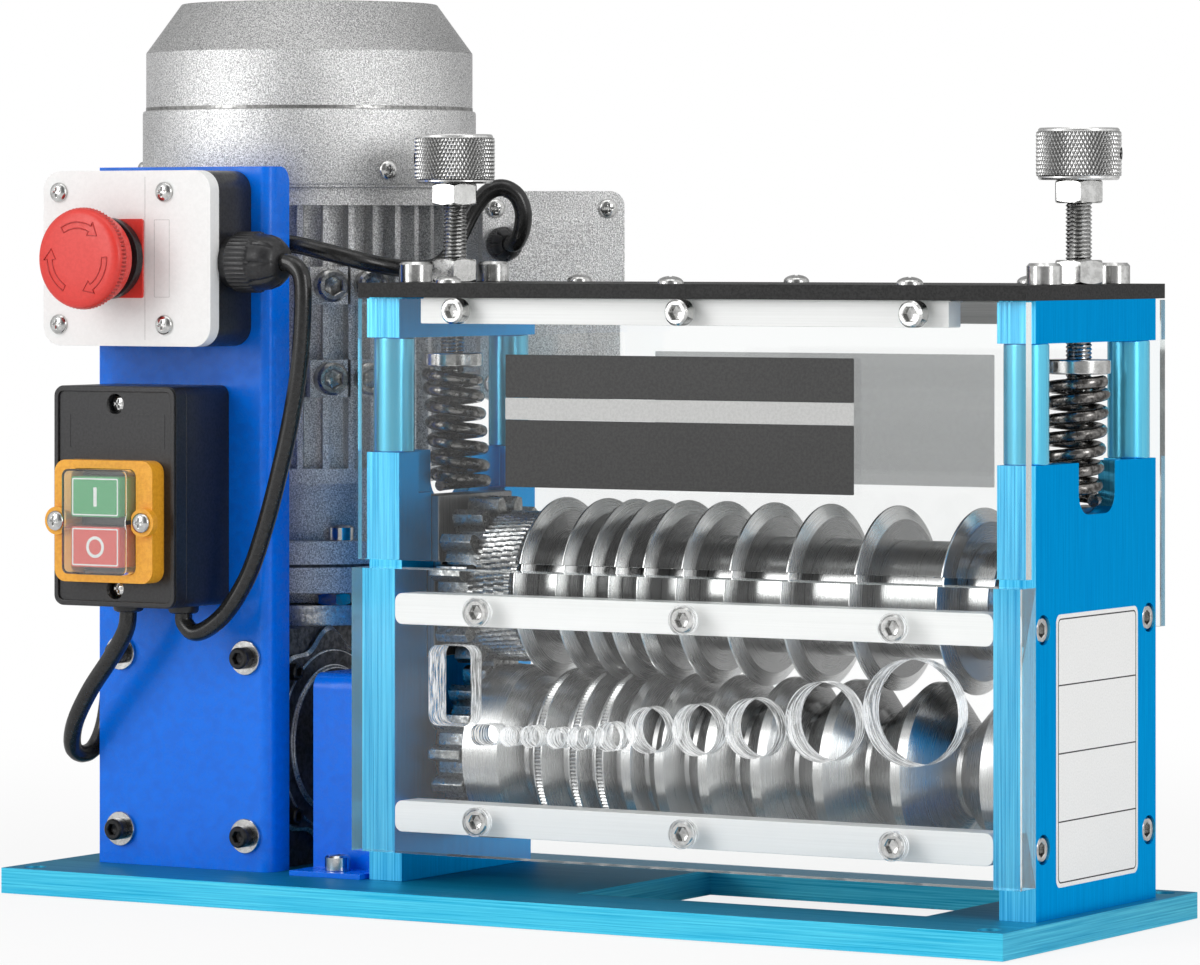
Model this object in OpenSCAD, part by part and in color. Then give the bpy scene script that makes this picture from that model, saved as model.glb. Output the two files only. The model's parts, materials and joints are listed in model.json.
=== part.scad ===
// Electric wire stripping machine for the bench, in millimetres.
// +X runs along the rollers away from the motor, +Y to the rear, +Z up.
// The origin is the centre of the base plate's underside.

/* [Base plate] */
// Length of the base plate
base_w = 444; // [436:1:480]
// Depth of the base plate
base_d = 162; // [158:1:200]
// Thickness of the base plate
base_t = 10; // [9:0.5:16]
// Diameter of the bench bolt holes
bench_hole_d = 9; // [5:0.5:11]
// Bench bolt holes in from the plate's ends
bench_edge_x = 10; // [8:0.5:12]
// Bench bolt holes in from the plate's front and back
bench_edge_y = 9; // [8:0.5:14]
// Length of the drop-through window under the rollers
window_w = 150; // [100:1:180]
// Depth of the drop-through window
window_d = 102; // [60:1:110]
// Centre of the window along the machine
window_x = 97; // [90:1:105]

/* [End plates] */
// Thickness of an end plate
plate_t = 15; // [14.5:0.5:18]
// Depth of an end plate
plate_d = 100; // [100:1:104]
// Height of an end plate above the base
plate_h = 166; // [160:1:176]
// Middle of the left end plate along the machine
plate_left_x = -65; // [-67:0.5:-62]
// Clear span between the end plates
roller_span = 259; // [255:1:262]
// Roller axes behind the middle of the base
axis_y = 6; // [4:0.5:8]
// Width of the open slot above each bearing block
slot_w = 30; // [28:0.5:36]
// Corner radius at the bottom of the open slot
slot_r = 8; // [4:0.5:12]
// Depth of the pocket that guides a bearing block
pocket_depth = 8; // [6:0.5:9]
// Width of a bearing block
block_w = 54; // [48:0.5:56]
// How far a bearing block stands proud of its pocket
block_proud = 3.5; // [2:0.5:4]
// Height of the bearing block above the upper axis
block_up = 35.7; // [35.5:0.1:38]
// Depth of the bearing block below the upper axis
block_down = 27; // [20:0.5:30]
// Width of the wider relief at the top of the pocket
relief_w = 72; // [60:1:74]
// Height of the wider relief, down from the top of the plate
relief_h = 16; // [8:1:20]

/* [Top] */
// Diameter of a guide post
post_d = 16; // [12:0.5:16]
// Guide posts in front of and behind the roller axes
post_dy = 42; // [38:0.5:42]
// Clear height between an end plate and its top block
post_h = 44.3; // [40:0.1:50]
// Height of a top block
top_block_h = 15.7; // [12:0.1:20]
// Depth of the top cover
cover_d = 116; // [112:1:126]
// Thickness of the top cover
cover_t = 5.6; // [4:0.1:5.8]
// Top block screws in front of and behind the roller axes
block_screw_dy = 28.5; // [27:0.5:30]

/* [Guards] */
// Thickness of the lower front guard
lower_guard_t = 12.5; // [11:0.5:14]
// Height of the lower front guard
lower_guard_h = 109.2; // [108:0.2:111]
// Lower front guard above the base
lower_guard_up = 12.5; // [8:0.5:14]
// Thickness of the upper front guard and the rear guard
upper_guard_t = 4.5; // [3:0.5:6]
// Height of the upper front guard
upper_guard_h = 100.7; // [60:0.1:102]
// Height of the rear guard
rear_guard_h = 123.5; // [60:0.5:130]
// Width and height of a tie bar
tie_w = 12; // [10:0.5:13]
// Middle of the lower tie bars above the base
tie_low_up = 26; // [24:0.5:28]
// Middle of the upper tie bars above the base
tie_high_up = 106; // [104:0.5:107]
// Height of a top rail
rail_h = 10; // [10:0.5:14]
// Thickness of a top rail
rail_t = 9.5; // [8:0.5:11]
// Gap from the left end plate to the top rails
rail_gap_left = 12; // [8:1:13]
// Gap from the right end plate to the top rails
rail_gap_right = 18; // [8:1:20]
// Bottom of every wire hole above the base
wire_hole_up = 55.5; // [50:0.5:58]
// Width of the rectangular feed window
feed_window_w = 19; // [10:0.5:19]
// Height of the rectangular feed window
feed_window_h = 30.6; // [20:0.2:31]
// Bottom of the rectangular feed window above the base
feed_window_up = 62.4; // [58:0.2:63]
// Corner radius of the rectangular feed window
feed_window_r = 4; // [2:0.5:6]

/* [Rollers and gears] */
// Feed roller axis above the base
feed_up = 49; // [46:0.5:50]
// Module of the two meshing gears
gear_module = 4; // [4:0.05:4.1]
// Width of a gear
gear_w = 14; // [10:0.5:15]
// Gap from the left end plate to the gears
gear_gap = 5.5; // [5:0.1:6]
// Gear tip above its pitch circle, in modules
gear_tip = 0.75; // [0.6:0.05:0.85]
// Gear root below its pitch circle, in modules
gear_root = 1.05; // [1:0.05:1.2]
// Backlash between the gears
backlash = 0.6; // [0.3:0.1:1]
// Radius of a cutter blade
blade_r = 35; // [34:0.1:35.3]
// Thickness of a cutter blade
blade_t = 6; // [4:0.1:6.2]
// Thickness of a cutter blade at its rim
blade_rim_t = 0.6; // [0.3:0.1:1]
// Depth of the cutter blade's bevel
blade_bevel = 5; // [4:0.5:8]
// Radius of the spacers between the blades
spacer_r = 22; // [16:0.5:26]
// Radius of the knurled roller
knurl_r = 29.4; // [26:0.2:30]
// Width of the knurled roller
knurl_w = 19.5; // [16:0.5:20]
// Radius of the blade shaft and of the gear seats
shaft_r = 12; // [11.5:0.5:14]
// Radius of the shafts in their bearings
journal_r = 10; // [9.5:0.5:11]
// Radius of the feed roller's lands
land_r = 33; // [32:0.1:33.2]
// Width of a land between two grooves
land_w = 4; // [3:0.2:4.4]
// Radius of the feed roller's smooth collar
feed_collar_r = 33.5; // [31:0.1:34]
// Width of the feed roller's smooth collar
feed_collar_w = 17; // [12:0.5:18]
// Width of the feed roller's end flange
feed_flange_w = 9; // [5:0.5:10]
// Depth of the shallowest groove
groove_min = 5.5; // [5.5:0.1:7]
// Depth of the deepest groove
groove_max = 18; // [12:0.5:19]
// Width of the flat at the bottom of a groove
groove_flat = 2; // [1.6:0.1:2.6]
// Outside diameter of a feed roller bearing
bearing_od = 42; // [36:1:44]
// Width of a feed roller bearing
bearing_w = 12; // [8:0.5:12]
// Lift of the blade roller
lift = 6; // [3:0.5:6]

/* [Pressure adjusters] */
// Diameter of an adjuster screw
adjuster_d = 10; // [8:0.5:10]
// Width across the flats of the adjuster nuts
nut_flats = 17; // [15:0.5:18]
// Height of the fixed adjuster nut
fixed_nut_h = 9.1; // [6:0.1:10]
// Height of the lock nut under the knob
lock_nut_h = 8.6; // [5:0.1:10]
// Clear screw length between the two nuts
adjuster_gap = 21.1; // [16:0.1:26]
// Radius of an adjuster knob
knob_r = 16; // [14:0.5:18]
// Height of an adjuster knob
knob_h = 19.3; // [14:0.1:22]
// Radius of a spring collar
collar_r = 12; // [9:0.5:13]
// Height of a spring collar
collar_h = 5.4; // [4:0.1:6]
// Gap between a spring collar and its top block
collar_gap = 6.5; // [6:0.1:9]
// Length of screw that guides the spring below the collar
spring_pilot = 8; // [4:0.5:12]
// Outside diameter of a spring
spring_od = 24.4; // [22:0.2:26]
// Diameter of the spring wire
spring_wire = 4.6; // [3:0.1:4.8]
// Turns of a spring
spring_turns = 7; // [6:0.5:7.5]
// How far the bottom of a spring leans to the middle of the machine
spring_lean = 4; // [0:0.5:5]

/* [Gearbox and motor] */
// Middle of the gearbox along the machine
gear_x = -160.4; // [-162:0.1:-159]
// Half width of the gearbox housing
gearbox_half = 35; // [34:0.5:35]
// Gearbox mounting face in front of the roller axes
gearbox_front = 46.6; // [45:0.1:48]
// Height of the gearbox housing above the base
gearbox_h = 94; // [92:0.5:98]
// Worm axis behind the wheel axis
worm_offset = 40; // [40:0.1:41]
// Radius of the worm housing at the back
worm_case_r = 29; // [24:0.5:32]
// Radius of the gearbox's bore for the worm wheel
wheel_bore_r = 32.5; // [32:0.1:34]
// Radius of the worm wheel
wheel_r = 31; // [28:0.2:31]
// Radius of the worm
worm_r = 8.6; // [8:0.1:8.8]
// Radius of the worm shaft's upper end
worm_top_r = 11; // [10:0.2:12]
// Radius of the gearbox's covers
gear_cover_r = 36; // [34:0.5:38]
// Height of a gearbox cover's flange
gear_cover_t = 2.5; // [2:0.1:3]
// Radius of the boss on a gearbox cover
gear_boss_r = 29; // [20:0.5:31]
// Thickness of the boss on a gearbox cover
gear_boss_t = 1.5; // [1:0.1:2]
// Radius of the wheel's hollow shaft
hub_r = 14; // [12.5:0.1:16]
// Radius of the feed roller's shaft inside the gearbox
drive_r = 9; // [8:0.1:9.4]
// Radius of the gearbox's input flange
input_flange_r = 52; // [48:0.5:56]
// Thickness of the gearbox's input flange
input_flange_t = 8; // [6:0.5:10]
// Height of the neck between the two flanges
neck_h = 5; // [4:0.2:8]
// Radius of the neck between the two flanges
neck_r = 38; // [30:0.5:39]
// Radius of the motor flange
motor_flange_r = 56; // [52:0.5:60]
// Thickness of the motor flange
motor_flange_t = 21; // [16:0.5:24]
// Outside radius of the motor's fins
fin_r = 59.4; // [56:0.2:62]
// Radius of the motor housing between its fins
motor_r = 52; // [49:0.5:54]
// Radius of the bore for the stator
stator_r = 43; // [38:0.5:46]
// Height of the motor housing
motor_h = 141; // [135:1:150]
// Number of fins around the motor
fin_count = 36; // [24:2:48]
// Thickness of a fin
fin_t = 2.4; // [2:0.1:3.4]
// Radius of the rear end shield under the fan cover
shield_r = 64; // [61:0.1:65]
// Thickness of the rear end shield
shield_t = 12; // [8:0.5:16]
// Radius of the motor shaft
motor_shaft_r = 8; // [6:0.2:9]
// Radius of the rotor
rotor_r = 25; // [20:0.5:30]
// Height of the fan cover
fan_cover_h = 75; // [70:1:85]
// Wall of the fan cover
fan_cover_wall = 2.2; // [1.2:0.1:2.5]
// Height of the fan cover's sloping top
fan_cover_slope = 20; // [12:0.5:24]
// Radius of the fan cover's flat top
fan_cover_top_r = 52; // [44:0.5:56]
// Radius of the fan
fan_r = 54; // [40:0.5:56]
// Blades of the fan
fan_blades = 7; // [5:1:9]

/* [Terminal box] */
// Near side of the terminal box from the motor axis
terminal_near = 65; // [64.5:0.5:66]
// Length of the terminal box, out from the motor
terminal_l = 56; // [50:0.5:64]
// Width of the terminal box up to its lid
terminal_w = 62; // [54:0.5:64]
// Lid side of the terminal box from the motor axis
terminal_lid_side = 32; // [28:0.5:33]
// Height of the terminal box
terminal_h = 80; // [70:1:82]
// Underside of the terminal box above the motor flange
terminal_up = 57.5; // [54:0.5:58]
// Wall of the terminal box
terminal_wall = 4; // [3:0.5:5]
// Thickness of the terminal box lid's rim
lid_rim_t = 4; // [3:0.5:5]
// Raised panel of the terminal box lid
lid_pan_t = 4; // [2:0.5:5]

/* [Panel and coupling guard] */
// Width of the control panel
panel_w = 81.7; // [80:0.1:84]
// Height of the control panel
panel_h = 277; // [276:1:290]
// Thickness of the control panel's sheet
panel_t = 3; // [2:0.1:3.5]
// Depth of the control panel's return flange
panel_flange = 14; // [10:0.5:16]
// Bend radius of the control panel's sheet, outside
panel_bend = 5; // [4:0.5:7]
// Left edge of the control panel from the gearbox's middle
panel_left = 40.8; // [40:0.1:41]
// Panel bolts either side of the gearbox's middle
panel_bolt_dx = 30; // [28:0.5:31]
// Panel bolts above and below the wheel axis
panel_bolt_dz = 35; // [34.5:0.5:38]
// Length of the coupling guard
coupling_guard_l = 33; // [25:0.5:34]
// Width of the coupling guard
coupling_guard_w = 72; // [60:1:76]
// Height of the coupling guard
coupling_guard_h = 78; // [70:1:90]
// Thickness of the coupling guard's sheet
coupling_guard_t = 2; // [1.5:0.1:3]
// Foot of the coupling guard
coupling_foot = 15; // [13:0.5:18]
// Gap from the coupling guard to the left end plate
coupling_gap = 2.5; // [1:0.1:4]

/* [Emergency stop] */
// Width of the emergency stop box
estop_w = 80; // [76:0.5:84]
// Height of the emergency stop box
estop_h = 68.8; // [66:0.2:72]
// Depth of the emergency stop box behind its lid
estop_d = 22.4; // [20:0.2:26]
// Thickness of the emergency stop lid
estop_lid_t = 6; // [4:0.5:8]
// Left side of the emergency stop box from the gearbox's middle
estop_left = 47.6; // [46:0.1:49]
// Underside of the emergency stop box above the base
estop_up = 206.5; // [202:0.5:208]
// Mushroom axis from the left side of the box
estop_axis = 33; // [31:0.5:35]
// Diameter of the mushroom head
mushroom_d = 40; // [36:0.5:42]
// Thickness of the mushroom head
mushroom_t = 13; // [10:0.5:16]
// Clear travel of the mushroom head
mushroom_travel = 5; // [3:0.5:6]
// Diameter of the mushroom's stem
mushroom_stem_d = 12; // [8:0.5:14]
// Diameter of the button hole in the lid
button_hole_d = 22; // [20:0.5:24]
// Width of the square legend plate
legend_w = 31; // [28:0.5:36]
// Thickness of the legend plate
legend_t = 1; // [0.6:0.1:1.5]

/* [Switch] */
// Width of the switch box
switch_w = 58; // [54:0.5:62]
// Height of the switch box
switch_h = 86.3; // [82:0.1:90]
// Depth of the switch box behind its cover
switch_d = 29.4; // [26:0.2:34]
// Thickness of the switch cover
switch_cover_t = 7; // [5:0.5:8]
// Left side of the switch box from the gearbox's middle
switch_left = 36.2; // [34:0.1:38]
// Underside of the switch box above the base
switch_up = 104.7; // [103:0.1:106]
// Width of the switch bezel
bezel_w = 46.7; // [44:0.1:48]
// Height of the switch bezel
bezel_h = 47.6; // [46:0.1:49]
// Thickness of the switch bezel
bezel_t = 8; // [5:0.2:8]
// Middle of the bezel above the underside of the switch box
bezel_up = 33.7; // [32:0.1:35]
// Width of a push button
button_w = 23; // [20:0.2:24]
// Height of a push button
button_h = 15.7; // [14:0.1:16]
// Gap between the two push buttons
button_gap = 3.8; // [2.4:0.1:5]
// Push buttons proud of the bezel
button_proud = 5; // [4:0.1:6]
// Travel of a push button
button_travel = 3; // [2:0.1:3.5]
// Wall of the clear membrane
membrane_t = 0.8; // [0.5:0.1:1]

/* [Cables] */
// Diameter of the two cables
cable_d = 7; // [6:0.1:7]
// Diameter of a cable gland's nut
gland_d = 24; // [20:0.5:25]
// Length of the emergency stop's gland
gland_l = 24; // [20:0.5:24]

/* [Hidden] */
$fn = 64;

// Fits and clearances
cut = 1;             // how far a cutting tool runs past a face
thread_fit = 0.02;   // radial room of a threaded hole
press_fit = 0.02;    // radial room of a pressed seat
hole_fit = 0.3;      // radial room of a clearance hole
run_fit = 0.05;      // radial room of a running fit
slide_fit = 0.2;     // room at each side of a bearing block
seat_gap = 0.3;      // room under a piece that rests on a moving one
end_play = 0.5;      // room at the end of a turning piece
guard_gap = 0.5;     // room over the upper guards
sink = 0.5;          // how deep a sunk screw head lies below its face

// Screw sizes
tie_screw_d = 6;
tie_screw_l = 20;
lower_guard_screw_l = 15;
upper_guard_screw_l = 13;
cover_screw_d = 5;
cover_screw_l = 13;
block_screw_d = 8;
block_screw_l = 18;
base_screw_d = 6;
base_screw_l = 14;
base_screw_dy = 35;
flange_nut_flats = 13;
flange_nut_r = 47;
lid_screw_d = 4;
lid_screw_l = 12;
panel_washer_r = 8.5;
panel_washer_t = 1.6;
panel_screw_l = 14;
function head_d(d) = 1.5 * d + 1;
function socket_d(d) = d;
head_room = 1;       // room round a sunk screw head

// Where the wires, blades and screws lie, out from the left end plate's inner face
blade_row = [44.5, 63.5, 76, 87, 99.5, 116.5, 137.5, 162, 191, 227.5];
wire_row = [[56, 7.5], [65.5, 8.4], [76.5, 8], [87, 9], [100, 11], [117, 17.4],
            [138, 19.4], [162, 22.5], [191.5, 29.7], [229, 39.4]];
wire_slot_row = [45.5, 12, 8];
wire_slot_r = 3.5;
feed_window_at = 29.8;
lower_screw_row = [41, 132, 221];
guard_screw_row = [31.3, 130.4, 229.4];
cover_screw_row = [20.5, 119.5, 221.5];
last_groove_half = 17;
feed_end_room = 5.5; // from the feed roller's flange to the right end plate

// The rows spread from the knurled roller's end, so that the feed roller always fills its span
knurl_end = gear_gap + gear_w + knurl_w;
row_length = blade_row[len(blade_row) - 1] + last_groove_half + feed_flange_w + feed_end_room - knurl_end;
row_scale = (roller_span - knurl_end) / row_length;
function along_row(x) = knurl_end + (x - knurl_end) * row_scale;
blade_at = [for (x = blade_row) along_row(x)];
wire_holes = [for (w = wire_row) [along_row(w[0]), w[1] * row_scale]];
wire_slot = [along_row(wire_slot_row[0]), wire_slot_row[1] * row_scale, wire_slot_row[2]];
lower_screw_at = [for (x = lower_screw_row) along_row(x)];
guard_screw_at = [for (x = guard_screw_row) along_row(x)];
cover_screw_at = [for (x = cover_screw_row) along_row(x)];

// Levels
base_top = base_t;
plate_top = base_top + plate_h;
top_block_z = plate_top + post_h;
cover_z = top_block_z + top_block_h;
cover_top = cover_z + cover_t;
gear_teeth = 16;
pitch_r = gear_module * gear_teeth / 2;
feed_z = base_top + feed_up;
blade_z = feed_z + 2 * pitch_r;
tie_zs = [base_top + tie_low_up, base_top + tie_high_up];
rail_z = cover_z - rail_h;

// Along the machine
inner_left = plate_left_x + plate_t / 2;
inner_right = inner_left + roller_span;
outer_left = inner_left - plate_t;
outer_right = inner_right + plate_t;
gear_x0 = inner_left + gear_gap;
gear_x1 = gear_x0 + gear_w;
rail_x0 = inner_left + rail_gap_left;
rail_x1 = inner_right - rail_gap_right;

// Front to back
plate_front = axis_y - plate_d / 2;
plate_back = axis_y + plate_d / 2;
cover_front = axis_y - cover_d / 2;
cover_back = axis_y + cover_d / 2;
lower_guard_front = plate_front - lower_guard_t;
tie_ys = [plate_front + tie_w / 2, plate_back - tie_w / 2];
rail_front = cover_front + upper_guard_t;
rail_back = cover_back - upper_guard_t;
rail_ys = [rail_front + rail_t / 2, rail_back - rail_t / 2];

// Bearing blocks, springs and adjusters
block_bottom = blade_z - block_down;
block_top = blade_z + block_up;
pocket_floor = block_bottom - seat_gap;
pocket_w = block_w + 2 * slide_fit;
slot_floor = block_top - 2;
collar_top = top_block_z - collar_gap;
collar_z = collar_top - collar_h;
lock_nut_z = cover_top + fixed_nut_h + adjuster_gap;
knob_z = lock_nut_z + lock_nut_h;
screw_tip = collar_z - spring_pilot;
screw_grip = 12;
knob_edge = 1;
spring_low = block_top + seat_gap + spring_wire / 2;
spring_high = collar_z - seat_gap - spring_wire / 2;
spring_end_pitch = spring_wire + 0.6;
spring_pitch = (spring_high - spring_low - 2 * spring_end_pitch) / (spring_turns - 2);
spring_mean_r = (spring_od - spring_wire) / 2;
rings_per_turn = 8;
spring_sides = 6;

// Gearbox and motor
motor_y = axis_y + worm_offset;
gearbox_y = axis_y - gearbox_front;
gearbox_top = base_top + gearbox_h;
input_top = gearbox_top + input_flange_t;
neck_top = input_top + neck_h;
flange_top = neck_top + motor_flange_t;
motor_top = flange_top + motor_h;
shield_z = motor_top - 7;
fan_cover_r = shield_r + seat_gap + fan_cover_wall;
fan_cover_top = motor_top + fan_cover_h;
gear_cover_out = gearbox_half + gear_cover_t + gear_boss_t;
hub_half = gear_cover_out;
worm_bottom = base_top + 4;
worm_journal_r = 6;
worm_journal_h = 14;
worm_case_floor = base_top + 10;
worm_top = input_top + 4;
worm_bore_depth = 20;
worm_cavity_r = 13;
rotor_low = flange_top + 22;
rotor_h = 90;
rotor_gap = 0.6;
fan_z = shield_z + shield_t + 8;
fan_h = 28;
fan_hub_r = 14;
fan_disc_t = 3;
shaft_end = fan_z + fan_h;
pad_angle = -42;
pad_dy = 8.3;
pad_w = 15.4;
pad_h = 15;
pad_screw_ups = [65, 102];
pad_screw_l = 10;
pad_root = stator_r + 2;
waist_h = 23;
waist_band_h = 6;
waist_wall = 2.4;
waist_r = stator_r + waist_wall;
flange_bolt_room = 0.5;
flange_bolt_r = waist_r + flange_bolt_room + head_d(base_screw_d) / 2;
flange_bolt_l = 12;
terminal_pad_w = 50;
terminal_pad_in = 9;
gear_spigot = 6;
wheel_half = 12;
worm_shoulder = 14;
vent_count = 12;
vent_w = 5;
vent_from = 18;
vent_edge = 8;
fan_blade_t = 3;
terminal_angle = 45;
terminal_z = flange_top + terminal_up;
lid_y = -terminal_lid_side;
lid_edge = 2.5;
lid_edge_in = 0.8;
lid_corner = 6;
lid_pan_corner = 8;
lid_pan_edge = 9;
terminal_gland_at = 6;
terminal_gland_drop = 19;
terminal_gland_r = 7;
terminal_gland_l = 16;

// Panel, emergency stop and switch
panel_x0 = gear_x - panel_left;
panel_x1 = panel_x0 + panel_w;
panel_y = gearbox_y - panel_t;
panel_corner = 6;
coupling_bend = 6;
coupling_leg = 8;
coupling_x0 = outer_left - coupling_gap - coupling_guard_l;
estop_x0 = gear_x - estop_left;
estop_z0 = base_top + estop_up;
estop_lid_y = panel_y - estop_d;
estop_face_y = estop_lid_y - estop_lid_t;
estop_x = estop_x0 + estop_axis;
estop_z = estop_z0 + estop_h / 2;
estop_wall = 3;
estop_corner = 8;
estop_screw_dx = 25.3;
estop_screw_dz = 26;
collar_ring_t = 4;
collar_ring_r = 16;
mushroom_edge = 3;
stem_reach = mushroom_travel + collar_ring_t + legend_t + estop_lid_t + 6;
contact_w = 28;
contact_corner = 2;
contact_floor = 4;
mushroom_back = estop_face_y - legend_t - collar_ring_t - mushroom_travel - seat_gap;
switch_x0 = gear_x - switch_left;
switch_x = switch_x0 + switch_w / 2;
switch_z0 = base_top + switch_up;
switch_cover_y = panel_y - switch_d;
switch_face_y = switch_cover_y - switch_cover_t;
switch_wall = 2.5;
switch_corner = 4;
switch_screw_in = 7;
bezel_z = switch_z0 + bezel_up;
bezel_face_y = switch_face_y - bezel_t;
bezel_open = 4;
bezel_over = 3;
bezel_corner = 5;
button_corner = 1;
membrane_gap = 0.1;
mechanism_w = 32;
mechanism_h = 40;
mechanism_floor = 4;
bezel_ear_r = 5.5;
bezel_ear_t = 3;
bezel_ear_dx = bezel_w / 2 - 3;
button_dz = (button_h + button_gap) / 2;
button_face_y = bezel_face_y - button_proud;
button_room = 0.4;
button_back = 10;
stem_d = 6;
stem_end_y = panel_y - switch_wall - mechanism_floor - button_travel - seat_gap;
cable_r = cable_d / 2;
cable_room = 0.1;
grommet_r = 6;
grommet_h = 3;
cable_sides = 10;

// Cable routes
control_route = [
    [-112, -57, 249.5], [-103, -57, 249.5], [-98, -57, 247.5], [-95, -57, 242], [-95, -57, 226],
    [-97, -57, 206],
    [-101, -57, 186], [-106, -57.5, 166], [-112, -58, 146], [-119, -58.5, 128], [-128, -59.5, 114],
    [-137, -60, 106.5], [-144, -60, 104.5], [-148.5, -60, 108], [-149, -60, 112], [-149, -60, 117]
];
motor_route = [
    [-174, -62, 117], [-174, -62, 112], [-175.5, -62, 104], [-183, -61.5, 93], [-194, -60, 80],
    [-203, -57.5, 67], [-208, -52.5, 57], [-209, -45, 53], [-208.5, -37, 55], [-208, -31, 64],
    [-207.5, -28, 80], [-207, -27, 100], [-206.5, -27, 120], [-206, -27, 140], [-205.5, -27, 160],
    [-204.5, -27, 180], [-202, -28, 200], [-197, -29, 219], [-187, -30, 236], [-172, -31, 248],
    [-156, -31, 254], [-139, -29, 257], [-122, -24.5, 256.5], [-106, -21, 253], [-95, -13, 249.5],
    [-88, -2, 247.2], [-84.5, 10, 246.5], [-83, 22, 248], [-82, 31, 253.5], [-80.5, 36, 261.5],
    [-77.5, 39.5, 270], [-73, 43, 277], [-68, 46.5, 279], [-63.5, 49.8, 276], [-61.5, 51.8, 269.5],
    [-62.5, 52.5, 262.5], [-66, 54, 257.5], [-70.5, 56.7, 256.5], [-76, 62, 256.5]
];

// Drawing planes and places

// Draws in Y and Z and builds toward +X
module side(x) translate([x, 0, 0]) rotate([90, 0, 90]) children();

// Draws in X and Z and builds toward the front
module front(y) translate([0, y, 0]) rotate([90, 0, 0]) children();

// Turns a piece drawn along +Z to lie along +X
module along_x(x, y, z) translate([x, y, z]) rotate([0, 90, 0]) children();

// An end plate's frame: x runs outward from its inner face
module at_end(right) {
    if (right) translate([inner_right, 0, 0]) children();
    else translate([inner_left, 0, 0]) mirror([1, 0, 0]) children();
}

// The motor's frame, turned so that x runs out along the given angle
module at_motor(angle) translate([gear_x, motor_y, 0]) rotate([0, 0, angle]) children();

module round_rect(w, h, r) {
    square([w - 2 * r, h], center = true);
    square([w, h - 2 * r], center = true);
    for (x = [-1, 1], y = [-1, 1]) translate([x * (w / 2 - r), y * (h / 2 - r)]) circle(r);
}

module front_rect(x0, y, z0, w, h, t, r)
    front(y) linear_extrude(t) translate([x0 + w / 2, z0 + h / 2]) round_rect(w, h, r);

// Fasteners, with the head up and the shank down from zero

module socket_screw(d, length) {
    difference() {
        cylinder(d = head_d(d), h = d);
        translate([0, 0, d / 2]) cylinder(d = socket_d(d), h = d, $fn = 6);
    }
    translate([0, 0, -length]) cylinder(d = d, h = length + d / 4);
}

module pan_screw(d, length) {
    difference() {
        cylinder(d1 = 2 * d, d2 = 1.3 * d, h = 0.6 * d);
        for (a = [0, 90]) rotate(a) translate([-d / 2, -d / 10, d / 3]) cube([d, d / 5, d]);
    }
    translate([0, 0, -length]) cylinder(d = d, h = length + d / 6);
}

module hole(d, depth, room) translate([0, 0, -depth]) cylinder(d = d + 2 * room, h = depth + cut);

// A clearance hole whose head room is cut down from zero
module sunk_hole(d, depth) {
    hole(d, depth, hole_fit);
    translate([0, 0, -d - sink]) cylinder(d = head_d(d) + head_room, h = d + sink + cut);
}

module hex_nut(flats, bore_r, h) difference() {
    cylinder(d = flats / cos(30), h = h, $fn = 6);
    translate([0, 0, -cut]) cylinder(r = bore_r, h = h + 2 * cut);
}

module ring(outer_r, inner_r, h) difference() {
    cylinder(r = outer_r, h = h);
    translate([0, 0, -cut]) cylinder(r = inner_r, h = h + 2 * cut);
}

// Places where screws sit, each with +Z out of the face

module tie_places() for (right = [false, true], y = tie_ys, z = tie_zs)
    at_end(right) along_x(plate_t, y, z) children();

module lower_guard_places() for (x = lower_screw_at, z = tie_zs)
    translate([inner_left + x, lower_guard_front, z]) rotate([90, 0, 0]) children();

module upper_guard_places() for (x = guard_screw_at)
    translate([inner_left + x, cover_front, rail_z + rail_h / 2]) rotate([90, 0, 0]) children();

module rear_guard_places() for (x = guard_screw_at)
    translate([inner_left + x, cover_back, rail_z + rail_h / 2]) rotate([-90, 0, 0]) children();

module cover_places() for (x = cover_screw_at, y = rail_ys)
    translate([inner_left + x, y, cover_top]) children();

module block_places() for (right = [false, true], s = [-1, 1])
    at_end(right) translate([plate_t / 2, axis_y + s * block_screw_dy, cover_top]) children();

module adjuster_places() for (right = [false, true])
    at_end(right) translate([plate_t / 2, axis_y, 0]) children();

gearbox_screw_in = 12;
gearbox_screw_back = 16;
gearbox_screw_edge = 10.5;

module base_places() {
    for (right = [false, true], s = [-1, 1])
        at_end(right) translate([plate_t / 2, axis_y + s * base_screw_dy, 0]) rotate([180, 0, 0]) children();
    for (x = [-1, 1], y = [gearbox_y + gearbox_screw_in, axis_y + gearbox_screw_back])
        translate([gear_x + x * (gearbox_half - gearbox_screw_edge), y, 0]) rotate([180, 0, 0]) children();
}

module coupling_places() for (s = [-1, 1])
    translate([coupling_x0 + coupling_guard_l / 2,
               axis_y + s * (coupling_guard_w + coupling_foot) / 2,
               base_top + coupling_guard_t]) children();

module pad_places() for (y = [-1, 1], z = pad_screw_ups)
    at_motor(pad_angle) along_x(shield_r, y * pad_dy, flange_top + z) children();

module flange_bolt_places() for (a = [0:90:270])
    at_motor(pad_angle + a) translate([flange_bolt_r, 0, flange_top]) children();

module flange_nut_places() for (a = [45:90:315])
    at_motor(a) translate([flange_nut_r, 0, input_top]) children();

module panel_places() for (x = [-1, 1], z = [-1, 1])
    translate([gear_x + x * panel_bolt_dx, panel_y, feed_z + z * panel_bolt_dz])
        rotate([90, 0, 0]) children();

module estop_places() for (x = [-1, 1], z = [-1, 1])
    translate([estop_x + x * estop_screw_dx, estop_face_y, estop_z + z * estop_screw_dz])
        rotate([90, 0, 0]) children();

module switch_places() for (z = [switch_screw_in, switch_h - switch_screw_in])
    translate([switch_x, switch_face_y, switch_z0 + z]) rotate([90, 0, 0]) children();

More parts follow.
